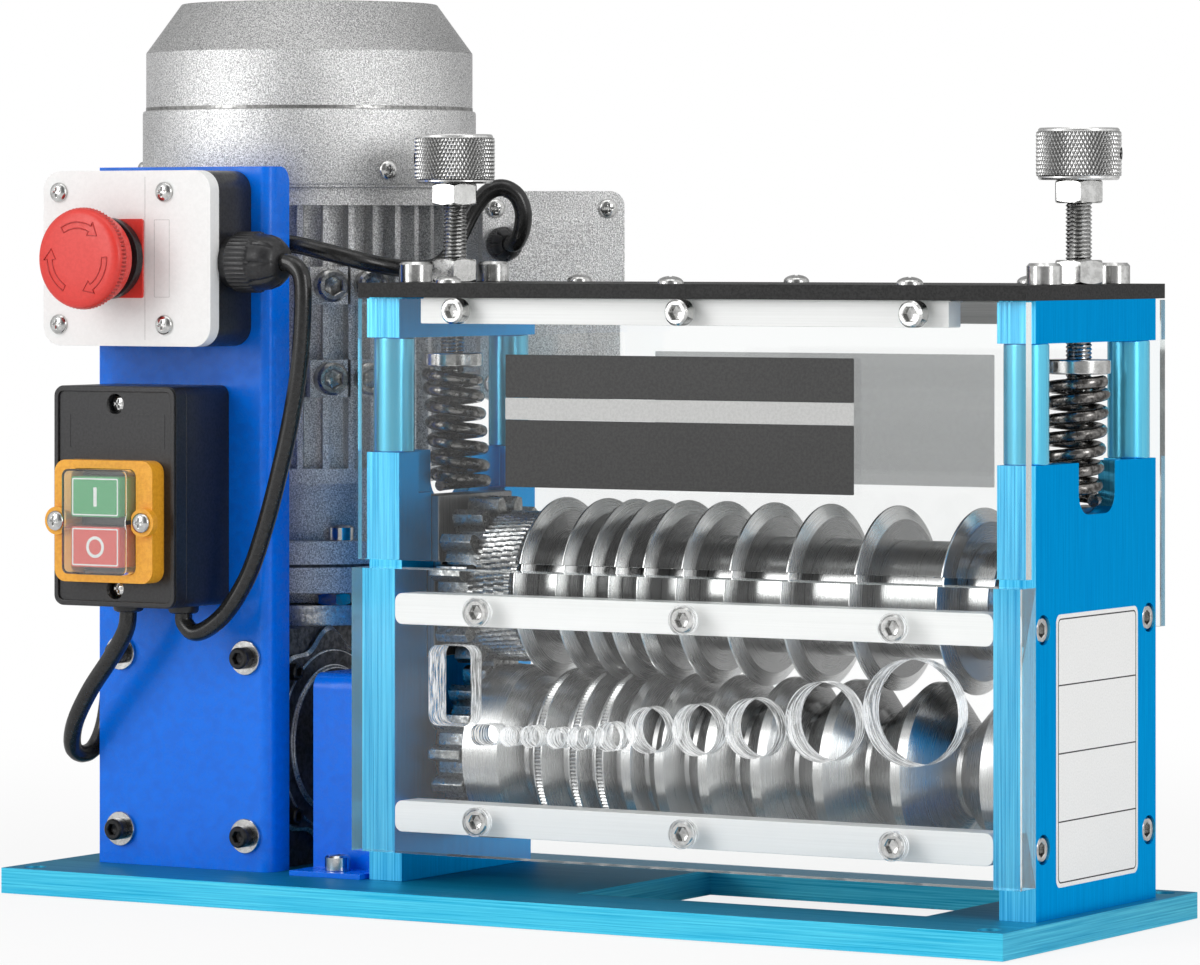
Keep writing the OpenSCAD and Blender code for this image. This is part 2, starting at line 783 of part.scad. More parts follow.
module bezel_places() for (x = [-1, 1])
    translate([switch_x + x * bezel_ear_dx, bezel_face_y - bezel_ear_t, bezel_z])
        rotate([90, 0, 0]) children();

module lid_places() for (x = [lid_pan_edge / 2, terminal_l - lid_pan_edge / 2],
                         z = [lid_pan_edge / 2, terminal_h - lid_pan_edge / 2])
    at_motor(terminal_angle) translate([terminal_near + x, lid_y - lid_rim_t, terminal_z + z])
        rotate([90, 0, 0]) children();

// Frame

module base_plate() color("deepskyblue") difference() {
    translate([-base_w / 2, -base_d / 2, 0]) cube([base_w, base_d, base_t]);
    translate([window_x - window_w / 2, axis_y - window_d / 2, -cut])
        cube([window_w, window_d, base_t + 2 * cut]);
    for (x = [-1, 1], y = [-1, 1])
        translate([x * (base_w / 2 - bench_edge_x), y * (base_d / 2 - bench_edge_y), -cut])
            cylinder(d = bench_hole_d, h = base_t + 2 * cut);
    base_places() sunk_hole(base_screw_d, base_t + cut);
    coupling_places() hole(base_screw_d, coupling_guard_t + base_t - cut, thread_fit);
}

module slot_outline() difference() {
    translate([axis_y - slot_w / 2, slot_floor]) square([slot_w, plate_top - slot_floor + cut]);
    for (s = [-1, 1]) translate([axis_y + s * (slot_w / 2 - slot_r), slot_floor + slot_r])
        difference() {
            translate([s < 0 ? -slot_r : 0, -slot_r]) square(slot_r);
            circle(slot_r);
        }
}

module end_plate(right) color("steelblue") difference() {
    at_end(right) difference() {
        translate([0, plate_front, base_top]) cube([plate_t, plate_d, plate_h]);
        translate([-cut, axis_y - pocket_w / 2, pocket_floor])
            cube([pocket_depth + cut, pocket_w, plate_top - pocket_floor + cut]);
        translate([-cut, axis_y - relief_w / 2, plate_top - relief_h])
            cube([pocket_depth + cut, relief_w, relief_h + cut]);
        side(-cut) linear_extrude(plate_t + 2 * cut) slot_outline();
        along_x(-cut, axis_y, feed_z) cylinder(r = bearing_od / 2 + press_fit, h = bearing_w + cut);
        if (!right) along_x(-cut, axis_y, feed_z)
            cylinder(r = journal_r + 1, h = plate_t + 2 * cut);
    }
    tie_places() sunk_hole(tie_screw_d, plate_t + cut);
    base_places() hole(base_screw_d, base_t + base_screw_l, thread_fit);
}

module end_plate_left() end_plate(false);
module end_plate_right() end_plate(true);

module top_blocks() color("steelblue") difference() {
    for (right = [false, true]) at_end(right)
        translate([0, plate_front, top_block_z]) cube([plate_t, plate_d, top_block_h]);
    adjuster_places() translate([0, 0, top_block_z - cut])
        cylinder(d = adjuster_d + 4 * hole_fit, h = top_block_h + 2 * cut);
    block_places() hole(block_screw_d, block_screw_l + cut, thread_fit);
}

module guide_posts() color("dodgerblue")
    for (right = [false, true], s = [-1, 1]) at_end(right)
        translate([plate_t / 2, axis_y + s * post_dy, plate_top]) cylinder(d = post_d, h = post_h);

module top_cover() color("#202020") difference() {
    translate([outer_left, cover_front, cover_z]) cube([outer_right - outer_left, cover_d, cover_t]);
    adjuster_places() translate([0, 0, cover_z - cut])
        cylinder(d = adjuster_d + 4 * hole_fit, h = cover_t + 2 * cut);
    block_places() hole(block_screw_d, cover_t + cut, hole_fit);
    cover_places() hole(cover_screw_d, cover_t + cut, hole_fit);
}

module front_guard_upper() color("lightcyan", 0.4) difference() {
    translate([outer_left, cover_front, cover_z - guard_gap - upper_guard_h])
        cube([outer_right - outer_left, upper_guard_t, upper_guard_h]);
    upper_guard_places() hole(tie_screw_d, upper_guard_t + cut, hole_fit);
}

module front_guard_lower() color("lightcyan", 0.4) difference() {
    translate([outer_left, lower_guard_front, base_top + lower_guard_up])
        cube([outer_right - outer_left, lower_guard_t, lower_guard_h]);
    lower_guard_places() sunk_hole(tie_screw_d, lower_guard_t + cut);
    front(plate_front + cut) linear_extrude(lower_guard_t + 2 * cut)
        translate([inner_left, base_top]) {
            for (w = wire_holes) translate([w[0], wire_hole_up + w[1] / 2]) circle(d = w[1]);
            translate([wire_slot[0], wire_hole_up + wire_slot[2] / 2])
                round_rect(wire_slot[1], wire_slot[2], wire_slot_r);
            translate([feed_window_at, feed_window_up + feed_window_h / 2])
                round_rect(feed_window_w, feed_window_h, feed_window_r);
        }
}

module rear_guard() color("lightcyan", 0.4) difference() {
    translate([outer_left, rail_back, cover_z - guard_gap - rear_guard_h])
        cube([outer_right - outer_left, upper_guard_t, rear_guard_h]);
    rear_guard_places() hole(tie_screw_d, upper_guard_t + cut, hole_fit);
}

module guard_bars() color("gainsboro") difference() {
    union() {
        for (y = tie_ys, z = tie_zs) translate([inner_left, y - tie_w / 2, z - tie_w / 2])
            cube([roller_span, tie_w, tie_w]);
        for (y = rail_ys) translate([rail_x0, y - rail_t / 2, rail_z])
            cube([rail_x1 - rail_x0, rail_t, rail_h]);
    }
    tie_places() hole(tie_screw_d, tie_screw_l + tie_screw_d + cut, thread_fit);
    lower_guard_places() hole(tie_screw_d, lower_guard_screw_l + tie_screw_d + cut, thread_fit);
    upper_guard_places() hole(tie_screw_d, upper_guard_t + rail_t + cut, thread_fit);
    rear_guard_places() hole(tie_screw_d, upper_guard_t + rail_t + cut, thread_fit);
    cover_places() hole(cover_screw_d, cover_screw_l + cut, thread_fit);
}

module frame_fasteners() color("silver") {
    tie_places() translate([0, 0, -tie_screw_d - sink]) socket_screw(tie_screw_d, tie_screw_l);
    lower_guard_places() translate([0, 0, -tie_screw_d - sink])
        socket_screw(tie_screw_d, lower_guard_screw_l);
    upper_guard_places() socket_screw(tie_screw_d, upper_guard_screw_l);
    rear_guard_places() socket_screw(tie_screw_d, upper_guard_screw_l);
    cover_places() pan_screw(cover_screw_d, cover_screw_l);
    block_places() socket_screw(block_screw_d, block_screw_l);
    base_places() translate([0, 0, -base_screw_d - sink])
        socket_screw(base_screw_d, base_screw_l - base_screw_d);
    coupling_places() socket_screw(base_screw_d, base_t - 2 * cut);
    pad_places() socket_screw(base_screw_d, pad_screw_l);
    flange_bolt_places() socket_screw(base_screw_d, flange_bolt_l);
    flange_nut_places() hex_nut(flange_nut_flats, base_screw_d / 2, neck_h);
    adjuster_places() translate([0, 0, cover_top])
        hex_nut(nut_flats, adjuster_d / 2 + run_fit, fixed_nut_h);
}

// Gearbox and motor

module gearbox_housing() color("#2b2d30") difference() {
    union() {
        translate([gear_x - gearbox_half, gearbox_y, base_top])
            cube([2 * gearbox_half, motor_y - gearbox_y, gearbox_h]);
        translate([gear_x, motor_y, base_top]) cylinder(r = worm_case_r, h = gearbox_h);
        translate([gear_x, motor_y, gearbox_top]) cylinder(r = input_flange_r, h = input_flange_t);
    }
    along_x(gear_x - gearbox_half - cut, axis_y, feed_z)
        cylinder(r = wheel_bore_r, h = 2 * (gearbox_half + cut));
    translate([gear_x, motor_y, 0]) {
        translate([0, 0, worm_case_floor]) cylinder(r = worm_cavity_r, h = gearbox_top - worm_case_floor);
        translate([0, 0, worm_bottom]) cylinder(r = worm_journal_r + run_fit, h = gearbox_h);
        translate([0, 0, worm_case_floor]) cylinder(r = worm_top_r + run_fit, h = gearbox_h + input_flange_t);
    }
    panel_places() hole(tie_screw_d, panel_t + panel_screw_l, thread_fit);
    base_places() hole(base_screw_d, base_t + base_screw_l, thread_fit);
}

module gear_cover() difference() {
    union() {
        translate([0, 0, -gear_spigot]) cylinder(r = wheel_bore_r - press_fit, h = gear_spigot);
        cylinder(r = gear_cover_r, h = gear_cover_t);
        cylinder(r = gear_boss_r, h = gear_cover_t + gear_boss_t);
    }
    translate([0, 0, -gear_spigot - cut])
        cylinder(r = hub_r + run_fit, h = gear_spigot + gear_cover_t + gear_boss_t + 2 * cut);
}

module gearbox_covers() color("#34373b")
    for (s = [0, 1]) translate([gear_x, axis_y, feed_z]) mirror([s, 0, 0])
        along_x(gearbox_half, 0, 0) gear_cover();

module motor_flange() color("silver") difference() {
    union() {
        translate([gear_x, motor_y, input_top]) cylinder(r = neck_r, h = neck_h);
        translate([gear_x, motor_y, neck_top]) cylinder(r = motor_flange_r, h = motor_flange_t);
    }
    translate([gear_x, motor_y, input_top - cut])
        cylinder(r = motor_shaft_r + run_fit, h = neck_h + motor_flange_t + 2 * cut);
    translate([gear_x, motor_y, input_top - cut])
        cylinder(r = worm_top_r + 1, h = worm_top - input_top + 2 * cut);
    flange_bolt_places() hole(base_screw_d, flange_bolt_l, thread_fit);
}

module motor_outline() {
    circle(motor_r);
    intersection() {
        circle(fin_r);
        for (i = [0 : fin_count - 1]) rotate(i * 360 / fin_count)
            translate([0, -fin_t / 2]) square([fin_r + cut, fin_t]);
    }
}

// Four foot pads on one side, and the flat that carries the terminal box
module motor_pads() {
    at_motor(pad_angle) for (y = [-1, 1], z = pad_screw_ups)
        translate([pad_root, y * pad_dy - pad_w / 2, flange_top + z - pad_h / 2])
            cube([shield_r - pad_root, pad_w, pad_h]);
    at_motor(terminal_angle) translate([pad_root, -terminal_pad_w / 2, terminal_z + terminal_pad_in])
        cube([terminal_near - pad_root, terminal_pad_w, terminal_h - 2 * terminal_pad_in]);
}

module motor_housing() color("silver") difference() {
    union() {
        translate([gear_x, motor_y, flange_top]) cylinder(r = waist_r, h = waist_h + waist_band_h);
        translate([gear_x, motor_y, flange_top + waist_h]) cylinder(r = fin_r, h = waist_band_h);
        translate([gear_x, motor_y, flange_top + waist_h])
            linear_extrude(shield_z - flange_top - waist_h) motor_outline();
        translate([gear_x, motor_y, shield_z]) cylinder(r = shield_r, h = shield_t);
        motor_pads();
    }
    translate([gear_x, motor_y, flange_top - cut]) cylinder(r = stator_r, h = shield_z - flange_top + cut);
    translate([gear_x, motor_y, flange_top]) cylinder(r = motor_shaft_r + run_fit, h = motor_h + shield_t);
    pad_places() hole(base_screw_d, pad_screw_l, thread_fit);
}

module motor_stator() color("#6b4a2f") translate([gear_x, motor_y, rotor_low])
    ring(stator_r - press_fit, rotor_r + rotor_gap, rotor_h);

module fan_cover_shell(r, top_r, top, slope) polygon([
    [0, motor_top], [r, motor_top], [r, top - slope], [top_r, top], [0, top]
]);

module fan_cover() color("lightgray") translate([gear_x, motor_y, 0]) difference() {
    rotate_extrude() difference() {
        fan_cover_shell(fan_cover_r, fan_cover_top_r, fan_cover_top, fan_cover_slope);
        translate([0, -cut]) fan_cover_shell(fan_cover_r - fan_cover_wall, fan_cover_top_r - fan_cover_wall,
            fan_cover_top - fan_cover_wall + cut, fan_cover_slope);
    }
    for (i = [0 : vent_count - 1]) rotate(i * 360 / vent_count)
        translate([vent_from, -vent_w / 2, fan_cover_top - fan_cover_wall - cut])
            cube([fan_cover_top_r - vent_from - vent_edge, vent_w, fan_cover_wall + 2 * cut]);
}

module terminal_box() color("silver") at_motor(terminal_angle) difference() {
    translate([terminal_near, lid_y, terminal_z]) cube([terminal_l, terminal_w, terminal_h]);
    translate([terminal_near + terminal_wall, lid_y - cut, terminal_z + terminal_wall])
        cube([terminal_l - 2 * terminal_wall, terminal_w - terminal_wall + cut,
              terminal_h - 2 * terminal_wall]);
}

module terminal_box_lid() color("silver") difference() {
    union() {
        at_motor(terminal_angle) {
            front_rect(terminal_near - lid_edge_in, lid_y, terminal_z - lid_edge,
                terminal_l + lid_edge_in + lid_edge, terminal_h + 2 * lid_edge, lid_rim_t, lid_corner);
            front_rect(terminal_near + lid_pan_edge, lid_y - lid_rim_t, terminal_z + lid_pan_edge,
                terminal_l - 2 * lid_pan_edge, terminal_h - 2 * lid_pan_edge, lid_pan_t, lid_pan_corner);
        }
        terminal_gland_place() translate([0, 0, -lid_pan_t]) cylinder(r = terminal_gland_r, h = lid_pan_t);
    }
    lid_places() hole(lid_screw_d, lid_rim_t + cut, thread_fit);
    terminal_gland_place() hole(cable_d, lid_rim_t + lid_pan_t + cut, cable_room);
}

module terminal_gland_place() at_motor(terminal_angle)
    translate([terminal_near + terminal_gland_at, lid_y - lid_rim_t - lid_pan_t,
               terminal_z + terminal_h - terminal_gland_drop]) rotate([90, 0, 0]) children();

// Panel and controls

module panel_outline() {
    translate([panel_x0, panel_y]) square([panel_w - panel_bend, panel_t]);
    translate([panel_x1 - panel_t, panel_y + panel_bend]) square([panel_t, panel_flange - panel_bend]);
    translate([panel_x1 - panel_bend, panel_y + panel_bend]) intersection() {
        difference() {
            circle(panel_bend);
            circle(panel_bend - panel_t);
        }
        translate([0, -panel_bend]) square(panel_bend);
    }
}

module control_panel() color("royalblue") difference() {
    translate([0, 0, base_top]) linear_extrude(panel_h) panel_outline();
    side(panel_x1 - panel_bend) linear_extrude(panel_bend + cut)
        translate([panel_y + panel_flange - panel_corner, base_top + panel_h - panel_corner]) difference() {
            square(panel_corner + cut);
            circle(panel_corner);
        }
    panel_places() hole(tie_screw_d, panel_t + cut, hole_fit);
}

module coupling_outline() {
    difference() {
        translate([axis_y, base_top + coupling_guard_h / 2])
            round_rect(coupling_guard_w, coupling_guard_h, coupling_bend);
        translate([axis_y, base_top + coupling_guard_h / 2 - coupling_guard_t])
            round_rect(coupling_guard_w - 2 * coupling_guard_t, coupling_guard_h,
                coupling_bend - coupling_guard_t);
        translate([axis_y - coupling_guard_w / 2 - cut, base_top - cut])
            square([coupling_guard_w + 2 * cut, coupling_leg + cut]);
    }
    for (s = [-1, 1])
        translate([axis_y + s * (coupling_guard_w - coupling_guard_t) / 2, base_top + coupling_leg / 2])
            square([coupling_guard_t, coupling_leg + cut], center = true);
    for (s = [-1, 1])
        translate([axis_y + s * (coupling_guard_w + coupling_foot) / 2, base_top + coupling_guard_t / 2])
            square([coupling_foot + 2 * coupling_guard_t, coupling_guard_t], center = true);
}

module coupling_guard() color("royalblue") difference() {
    side(coupling_x0) linear_extrude(coupling_guard_l) intersection() {
        coupling_outline();
        translate([axis_y - coupling_guard_w, base_top]) square([2 * coupling_guard_w, coupling_guard_h]);
    }
    coupling_places() hole(base_screw_d, coupling_guard_t + cut, hole_fit);
}

module panel_screws() color("#303030") panel_places() {
    ring(panel_washer_r, tie_screw_d / 2 + hole_fit, panel_washer_t);
    translate([0, 0, panel_washer_t]) socket_screw(tie_screw_d, panel_t + panel_screw_l);
}

module estop_box() color("#1c1c1c") difference() {
    front_rect(estop_x0, panel_y, estop_z0, estop_w, estop_h, estop_d, estop_corner);
    front_rect(estop_x0 + estop_wall, panel_y - estop_wall, estop_z0 + estop_wall, estop_w - 2 * estop_wall,
        estop_h - 2 * estop_wall, estop_d, estop_corner - estop_wall);
    along_x(estop_x0 + estop_w - estop_wall - cut, control_route[0].y, control_route[0].z)
        cylinder(r = cable_r + cable_room, h = estop_wall + 2 * cut);
}

module estop_lid() color("whitesmoke") difference() {
    front_rect(estop_x0, estop_lid_y, estop_z0, estop_w, estop_h, estop_lid_t, estop_corner);
    translate([estop_x, estop_lid_y + cut, estop_z]) rotate([90, 0, 0])
        cylinder(d = button_hole_d, h = estop_lid_t + 2 * cut);
    estop_places() hole(lid_screw_d, estop_lid_t + cut, thread_fit);
}

module estop_legend_plate() color("red") difference() {
    front_rect(estop_x - legend_w / 2, estop_face_y, estop_z - legend_w / 2, legend_w, legend_w, legend_t, 1);
    translate([estop_x, estop_face_y + cut, estop_z]) rotate([90, 0, 0])
        cylinder(d = button_hole_d, h = legend_t + 2 * cut);
}

// The ring on the front, the barrel through the lid and the contact housing behind it
module estop_contact_block() color("#242424") difference() {
    union() {
        translate([estop_x, estop_face_y - legend_t, estop_z]) rotate([90, 0, 0])
            cylinder(r = collar_ring_r, h = collar_ring_t);
        translate([estop_x, estop_lid_y + cut, estop_z]) rotate([90, 0, 0])
            cylinder(d = button_hole_d - 2 * press_fit, h = estop_lid_t + legend_t + 2 * cut);
        front_rect(estop_x - contact_w / 2, panel_y - estop_wall - cut, estop_z - contact_w / 2,
            contact_w, contact_w, estop_d - estop_wall - cut, contact_corner);
    }
    translate([estop_x, panel_y - estop_wall - contact_floor, estop_z]) rotate([90, 0, 0])
        cylinder(d = mushroom_stem_d + 2 * run_fit, h = estop_d + estop_lid_t + legend_t + collar_ring_t);
}

module gland(length, nut_r) {
    ring(nut_r * 0.8, cable_r + cable_room, length);
    translate([0, 0, length * 0.15]) ring(nut_r, cable_r + cable_room, length * 0.65);
}

module cable_glands() color("#181818") {
    along_x(estop_x0 + estop_w, control_route[0].y, control_route[0].z) gland(gland_l, gland_d / 2);
    terminal_gland_place() gland(terminal_gland_l, terminal_gland_r);
    for (p = [control_route[len(control_route) - 1], motor_route[0]])
        translate([p.x, p.y, switch_z0 - grommet_h]) ring(grommet_r, cable_r + cable_room, grommet_h);
}

module switch_box() color("#171a1d") difference() {
    front_rect(switch_x0, panel_y, switch_z0, switch_w, switch_h, switch_d, switch_corner);
    front_rect(switch_x0 + switch_wall, panel_y - switch_wall, switch_z0 + switch_wall,
        switch_w - 2 * switch_wall, switch_h - 2 * switch_wall, switch_d, switch_corner - switch_wall);
    for (p = [control_route[len(control_route) - 1], motor_route[0]])
        translate([p.x, p.y, switch_z0 - cut]) cylinder(r = cable_r + cable_room, h = switch_wall + 2 * cut);
}

module button_windows(y, t, room) for (s = [-1, 1])
    front_rect(switch_x - button_w / 2 - room, y, bezel_z + s * button_dz - button_h / 2 - room,
        button_w + 2 * room, button_h + 2 * room, t, button_corner);

module switch_cover() color("#1f2225") difference() {
    front_rect(switch_x0, switch_cover_y, switch_z0, switch_w, switch_h, switch_cover_t, switch_corner);
    button_windows(switch_cover_y + cut, switch_cover_t + 2 * cut, button_room);
    switch_places() sunk_hole(lid_screw_d, switch_cover_t + cut);
    bezel_places() hole(lid_screw_d, bezel_ear_t + bezel_t + 4, thread_fit);
}

// The opening in the bezel round both buttons, made smaller all round by inset
module bezel_window(y, t, inset) front_rect(
    switch_x - button_w / 2 - bezel_open + inset, y, bezel_z - button_h - button_gap / 2 - bezel_over + inset,
    button_w + 2 * (bezel_open - inset), 2 * button_h + button_gap + 2 * (bezel_over - inset),
    t, bezel_over - inset);

module switch_bezel() color("orange") difference() {
    union() {
        front_rect(switch_x - bezel_w / 2, switch_face_y, bezel_z - bezel_h / 2,
            bezel_w, bezel_h, bezel_t, bezel_corner);
        bezel_places() translate([0, 0, -bezel_ear_t - 0.5]) cylinder(r = bezel_ear_r, h = bezel_ear_t + 0.5);
    }
    bezel_window(switch_face_y + cut, bezel_t + bezel_ear_t + 2 * cut, 0);
    bezel_places() hole(lid_screw_d, bezel_ear_t + bezel_t + cut, hole_fit);
}

module switch_membrane() color("mintcream", 0.4) difference() {
    bezel_window(switch_face_y, bezel_t + button_proud + seat_gap + membrane_t, membrane_gap);
    bezel_window(switch_face_y + cut, bezel_t + button_proud + seat_gap + cut, membrane_gap + membrane_t);
    bezel_places() translate([0, 0, -bezel_t - bezel_ear_t])
        cylinder(r = bezel_ear_r + seat_gap, h = bezel_t + 2 * bezel_ear_t + lid_screw_d);
}

module switch_mechanism() color("#3a3d40") difference() {
    front_rect(switch_x - mechanism_w / 2, panel_y - switch_wall, bezel_z - mechanism_h / 2,
        mechanism_w, mechanism_h, switch_d - switch_wall - button_travel - mechanism_floor, contact_corner);
    for (s = [-1, 1]) translate([switch_x, panel_y - switch_wall - mechanism_floor, bezel_z + s * button_dz])
        rotate([90, 0, 0]) cylinder(d = stem_d + 2 * run_fit, h = switch_d);
}

module control_screws() color("silver") {
    estop_places() pan_screw(lid_screw_d, estop_lid_t);
    switch_places() translate([0, 0, -lid_screw_d - sink])
        pan_screw(lid_screw_d, switch_cover_t - lid_screw_d - sink);
    bezel_places() pan_screw(lid_screw_d, bezel_ear_t + bezel_t + 3);
    lid_places() pan_screw(lid_screw_d, lid_rim_t);
}

// Cables and springs: one tube each along a row of points

function unit(v) = v / norm(v);
function tangent(p, i) = unit(p[min(i + 1, len(p) - 1)] - p[max(i - 1, 0)]);
function square_to(t) = unit(cross(t, abs(t.z) < 0.8 ? [0, 0, 1] : [1, 0, 0]));
function carried(p, i) = i == 0 ? square_to(tangent(p, 0))
    : let (t = tangent(p, i), n = carried(p, i - 1)) unit(n - (n * t) * t);
function ring_points(p, i, r, sides) = let (t = tangent(p, i), n = carried(p, i), b = cross(t, n))
    [for (k = [0 : sides - 1]) p[i] + r * (cos(360 * k / sides) * n + sin(360 * k / sides) * b)];

module tube(p, r, sides) {
    last = (len(p) - 1) * sides;
    points = [for (i = [0 : len(p) - 1]) each ring_points(p, i, r, sides)];
    walls = [for (i = [0 : len(p) - 2], k = [0 : sides - 1])
        let (a = i * sides + k, b = i * sides + (k + 1) % sides)
            each [[a, a + sides, b], [b, a + sides, b + sides]]];
    caps = [for (k = [1 : sides - 2]) each [[0, k, k + 1], [last, last + k + 1, last + k]]];
    polyhedron(points, concat(walls, caps));
}

module control_cable() color("#101010") tube(control_route, cable_r, cable_sides);
module motor_cable() color("#101010") tube(motor_route, cable_r, cable_sides);

function spring_rise(u) = spring_end_pitch * min(u, 1)
    + spring_pitch * max(0, min(u, spring_turns - 1) - 1)
    + spring_end_pitch * max(0, u - spring_turns + 1);
function spring_point(u) = let (h = spring_rise(u), full = spring_rise(spring_turns))
    [plate_t / 2 - spring_lean * (1 - h / full) + spring_mean_r * cos(360 * u),
     axis_y + spring_mean_r * sin(360 * u), spring_low + h];
spring_path = [for (i = [0 : spring_turns * rings_per_turn]) spring_point(i / rings_per_turn)];
spring_rings = [for (i = [0 : len(spring_path) - 1])
    ring_points(spring_path, i, spring_wire / 2, spring_sides)];
spring_gaps = [for (i = [0 : len(spring_rings) - 7], j = [i + 6 : min(i + 10, len(spring_rings) - 1)],
    a = spring_rings[i], b = spring_rings[j]) norm(a - b)];
echo(spring_least_gap = min(spring_gaps));

module spring(right) color("dimgray") at_end(right) tube(spring_path, spring_wire / 2, spring_sides);
module spring_left() spring(false);
module spring_right() spring(true);

// Pressure adjusters

module adjuster_screw(right) color("silver") at_end(right) translate([plate_t / 2, axis_y, 0]) {
    translate([0, 0, screw_tip]) cylinder(d = adjuster_d, h = knob_z + screw_grip - screw_tip);
    translate([0, 0, lock_nut_z]) hex_nut(nut_flats, adjuster_d / 2 + press_fit, lock_nut_h);
}

module knob(right) color("gainsboro") at_end(right) translate([plate_t / 2, axis_y, knob_z]) difference() {
    union() {
        translate([0, 0, knob_edge]) cylinder(r = knob_r, h = knob_h - 2 * knob_edge);
        cylinder(r1 = knob_r - knob_edge, r2 = knob_r, h = knob_edge);
        translate([0, 0, knob_h - knob_edge]) cylinder(r1 = knob_r, r2 = knob_r - knob_edge, h = knob_edge);
    }
    translate([0, 0, -cut]) cylinder(d = adjuster_d + 2 * press_fit, h = screw_grip + cut);
}

module collar(right) color("gray") at_end(right) translate([plate_t / 2, axis_y, collar_z])
    ring(collar_r, adjuster_d / 2 + run_fit, collar_h);

module screw_left() adjuster_screw(false);
module screw_right() adjuster_screw(true);
module knob_left() knob(false);
module knob_right() knob(true);
module collar_left() collar(false);
module collar_right() collar(true);

// Turning pieces

module lower_bearings() color("gray") for (right = [false, true])
    at_end(right) along_x(0, axis_y, feed_z) ring(bearing_od / 2, journal_r + run_fit, bearing_w);

module motor_rotor() color("gray") translate([gear_x, motor_y, 0]) {
    translate([0, 0, worm_top - worm_bore_depth + end_play])
        cylinder(r = motor_shaft_r, h = shaft_end - worm_top + worm_bore_depth - end_play);
    translate([0, 0, rotor_low]) cylinder(r = rotor_r, h = rotor_h);
}

module cooling_fan() color("#2a2a2a") translate([gear_x, motor_y, fan_z]) difference() {
    union() {
        cylinder(r = fan_hub_r, h = fan_h);
        cylinder(r = fan_r, h = fan_disc_t);
        for (i = [0 : fan_blades - 1]) rotate(i * 360 / fan_blades)
            translate([0, -fan_blade_t / 2, 0]) cube([fan_r - 1, fan_blade_t, fan_h - 2]);
    }
    translate([0, 0, -cut]) cylinder(r = motor_shaft_r + press_fit, h = fan_h + 2 * cut);
}

module worm_shaft() color("gray") translate([gear_x, motor_y, 0]) difference() {
    union() {
        translate([0, 0, worm_bottom + seat_gap]) cylinder(r = worm_journal_r, h = worm_journal_h);
        translate([0, 0, worm_bottom + worm_journal_h])
            cylinder(r = worm_r, h = worm_top - worm_bottom - worm_journal_h);
        translate([0, 0, gearbox_top - worm_shoulder])
            cylinder(r = worm_top_r, h = worm_top - gearbox_top + worm_shoulder);
    }
    translate([0, 0, worm_top - worm_bore_depth])
        cylinder(r = motor_shaft_r + press_fit, h = worm_bore_depth + cut);
}

module worm_wheel() color("goldenrod") along_x(gear_x - hub_half, axis_y, feed_z) difference() {
    union() {
        cylinder(r = hub_r, h = 2 * hub_half);
        translate([0, 0, hub_half - wheel_half]) cylinder(r = wheel_r, h = 2 * wheel_half);
    }
    translate([0, 0, -cut]) cylinder(r = drive_r + press_fit, h = 2 * (hub_half + cut));
}

// The groove under blade i: its left edge, right edge and depth, out from the left end plate
land_edges = concat([gear_gap + gear_w + feed_collar_w],
    [for (i = [0 : len(blade_at) - 2]) (blade_at[i] + blade_at[i + 1]) / 2],
    [blade_at[len(blade_at) - 1] + last_groove_half + land_w / 2]);
function groove_from(i) = land_edges[i] + (i == 0 ? 0 : land_w / 2);
function groove_to(i) = land_edges[i + 1] - land_w / 2;
function groove_depth(i) = let (half = min(blade_at[i] - groove_from(i), groove_to(i) - blade_at[i]))
    min(groove_max, max(groove_min, half));
feed_flange_from = groove_to(len(blade_at) - 1);

module feed_roller() color("silver") along_x(inner_left, axis_y, feed_z)
    rotate_extrude() rotate(90) mirror([0, 1])
    polygon(concat(
        [[gear_x - inner_left - hub_half + 1, 0], [gear_x - inner_left - hub_half + 1, drive_r],
         [-plate_t - end_play, drive_r], [-plate_t - end_play, journal_r],
         [end_play, journal_r], [end_play, shaft_r],
         [gear_gap + gear_w, shaft_r], [gear_gap + gear_w, feed_collar_r], [land_edges[0], feed_collar_r],
         [land_edges[0], land_r]],
        [for (i = [0 : len(blade_at) - 1]) each [
            [groove_from(i), land_r], [blade_at[i] - groove_flat / 2, land_r - groove_depth(i)],
            [blade_at[i] + groove_flat / 2, land_r - groove_depth(i)], [groove_to(i), land_r]]],
        [[feed_flange_from + feed_flange_w, land_r], [feed_flange_from + feed_flange_w, shaft_r],
         [roller_span - end_play, shaft_r], [roller_span - end_play, journal_r],
         [roller_span + bearing_w - end_play, journal_r], [roller_span + bearing_w - end_play, 0]]));

function involute(r, base_r) = let (a = acos(min(1, base_r / r))) tan(a) * 180 / PI - a;
module gear_outline() {
    base_r = pitch_r * cos(20);
    tip_r = pitch_r + gear_tip * gear_module;
    root_r = pitch_r - gear_root * gear_module;
    half = 90 / gear_teeth - backlash / 4 / pitch_r * 180 / PI + involute(pitch_r, base_r);
    flank = concat([[root_r, half]], [for (k = [0 : 5]) let (r = base_r + (tip_r - base_r) * k / 5)
        [r, half - involute(r, base_r)]]);
    tooth = concat([for (p = flank) [p[0], -p[1]]], [for (k = [len(flank) - 1 : -1 : 0]) flank[k]]);
    polygon([for (i = [0 : gear_teeth - 1], p = tooth)
        p[0] * [cos(p[1] + 360 * i / gear_teeth), sin(p[1] + 360 * i / gear_teeth)]]);
}

module gear(z, turn) translate([0, axis_y, z]) side(gear_x0) linear_extrude(gear_w) rotate(turn)
    difference() {
        gear_outline();
        circle(shaft_r + press_fit);
    }

module feed_gear() color("gray") gear(feed_z, 90);
module blade_gear() color("gray") gear(blade_z, 90 + 180 / gear_teeth);

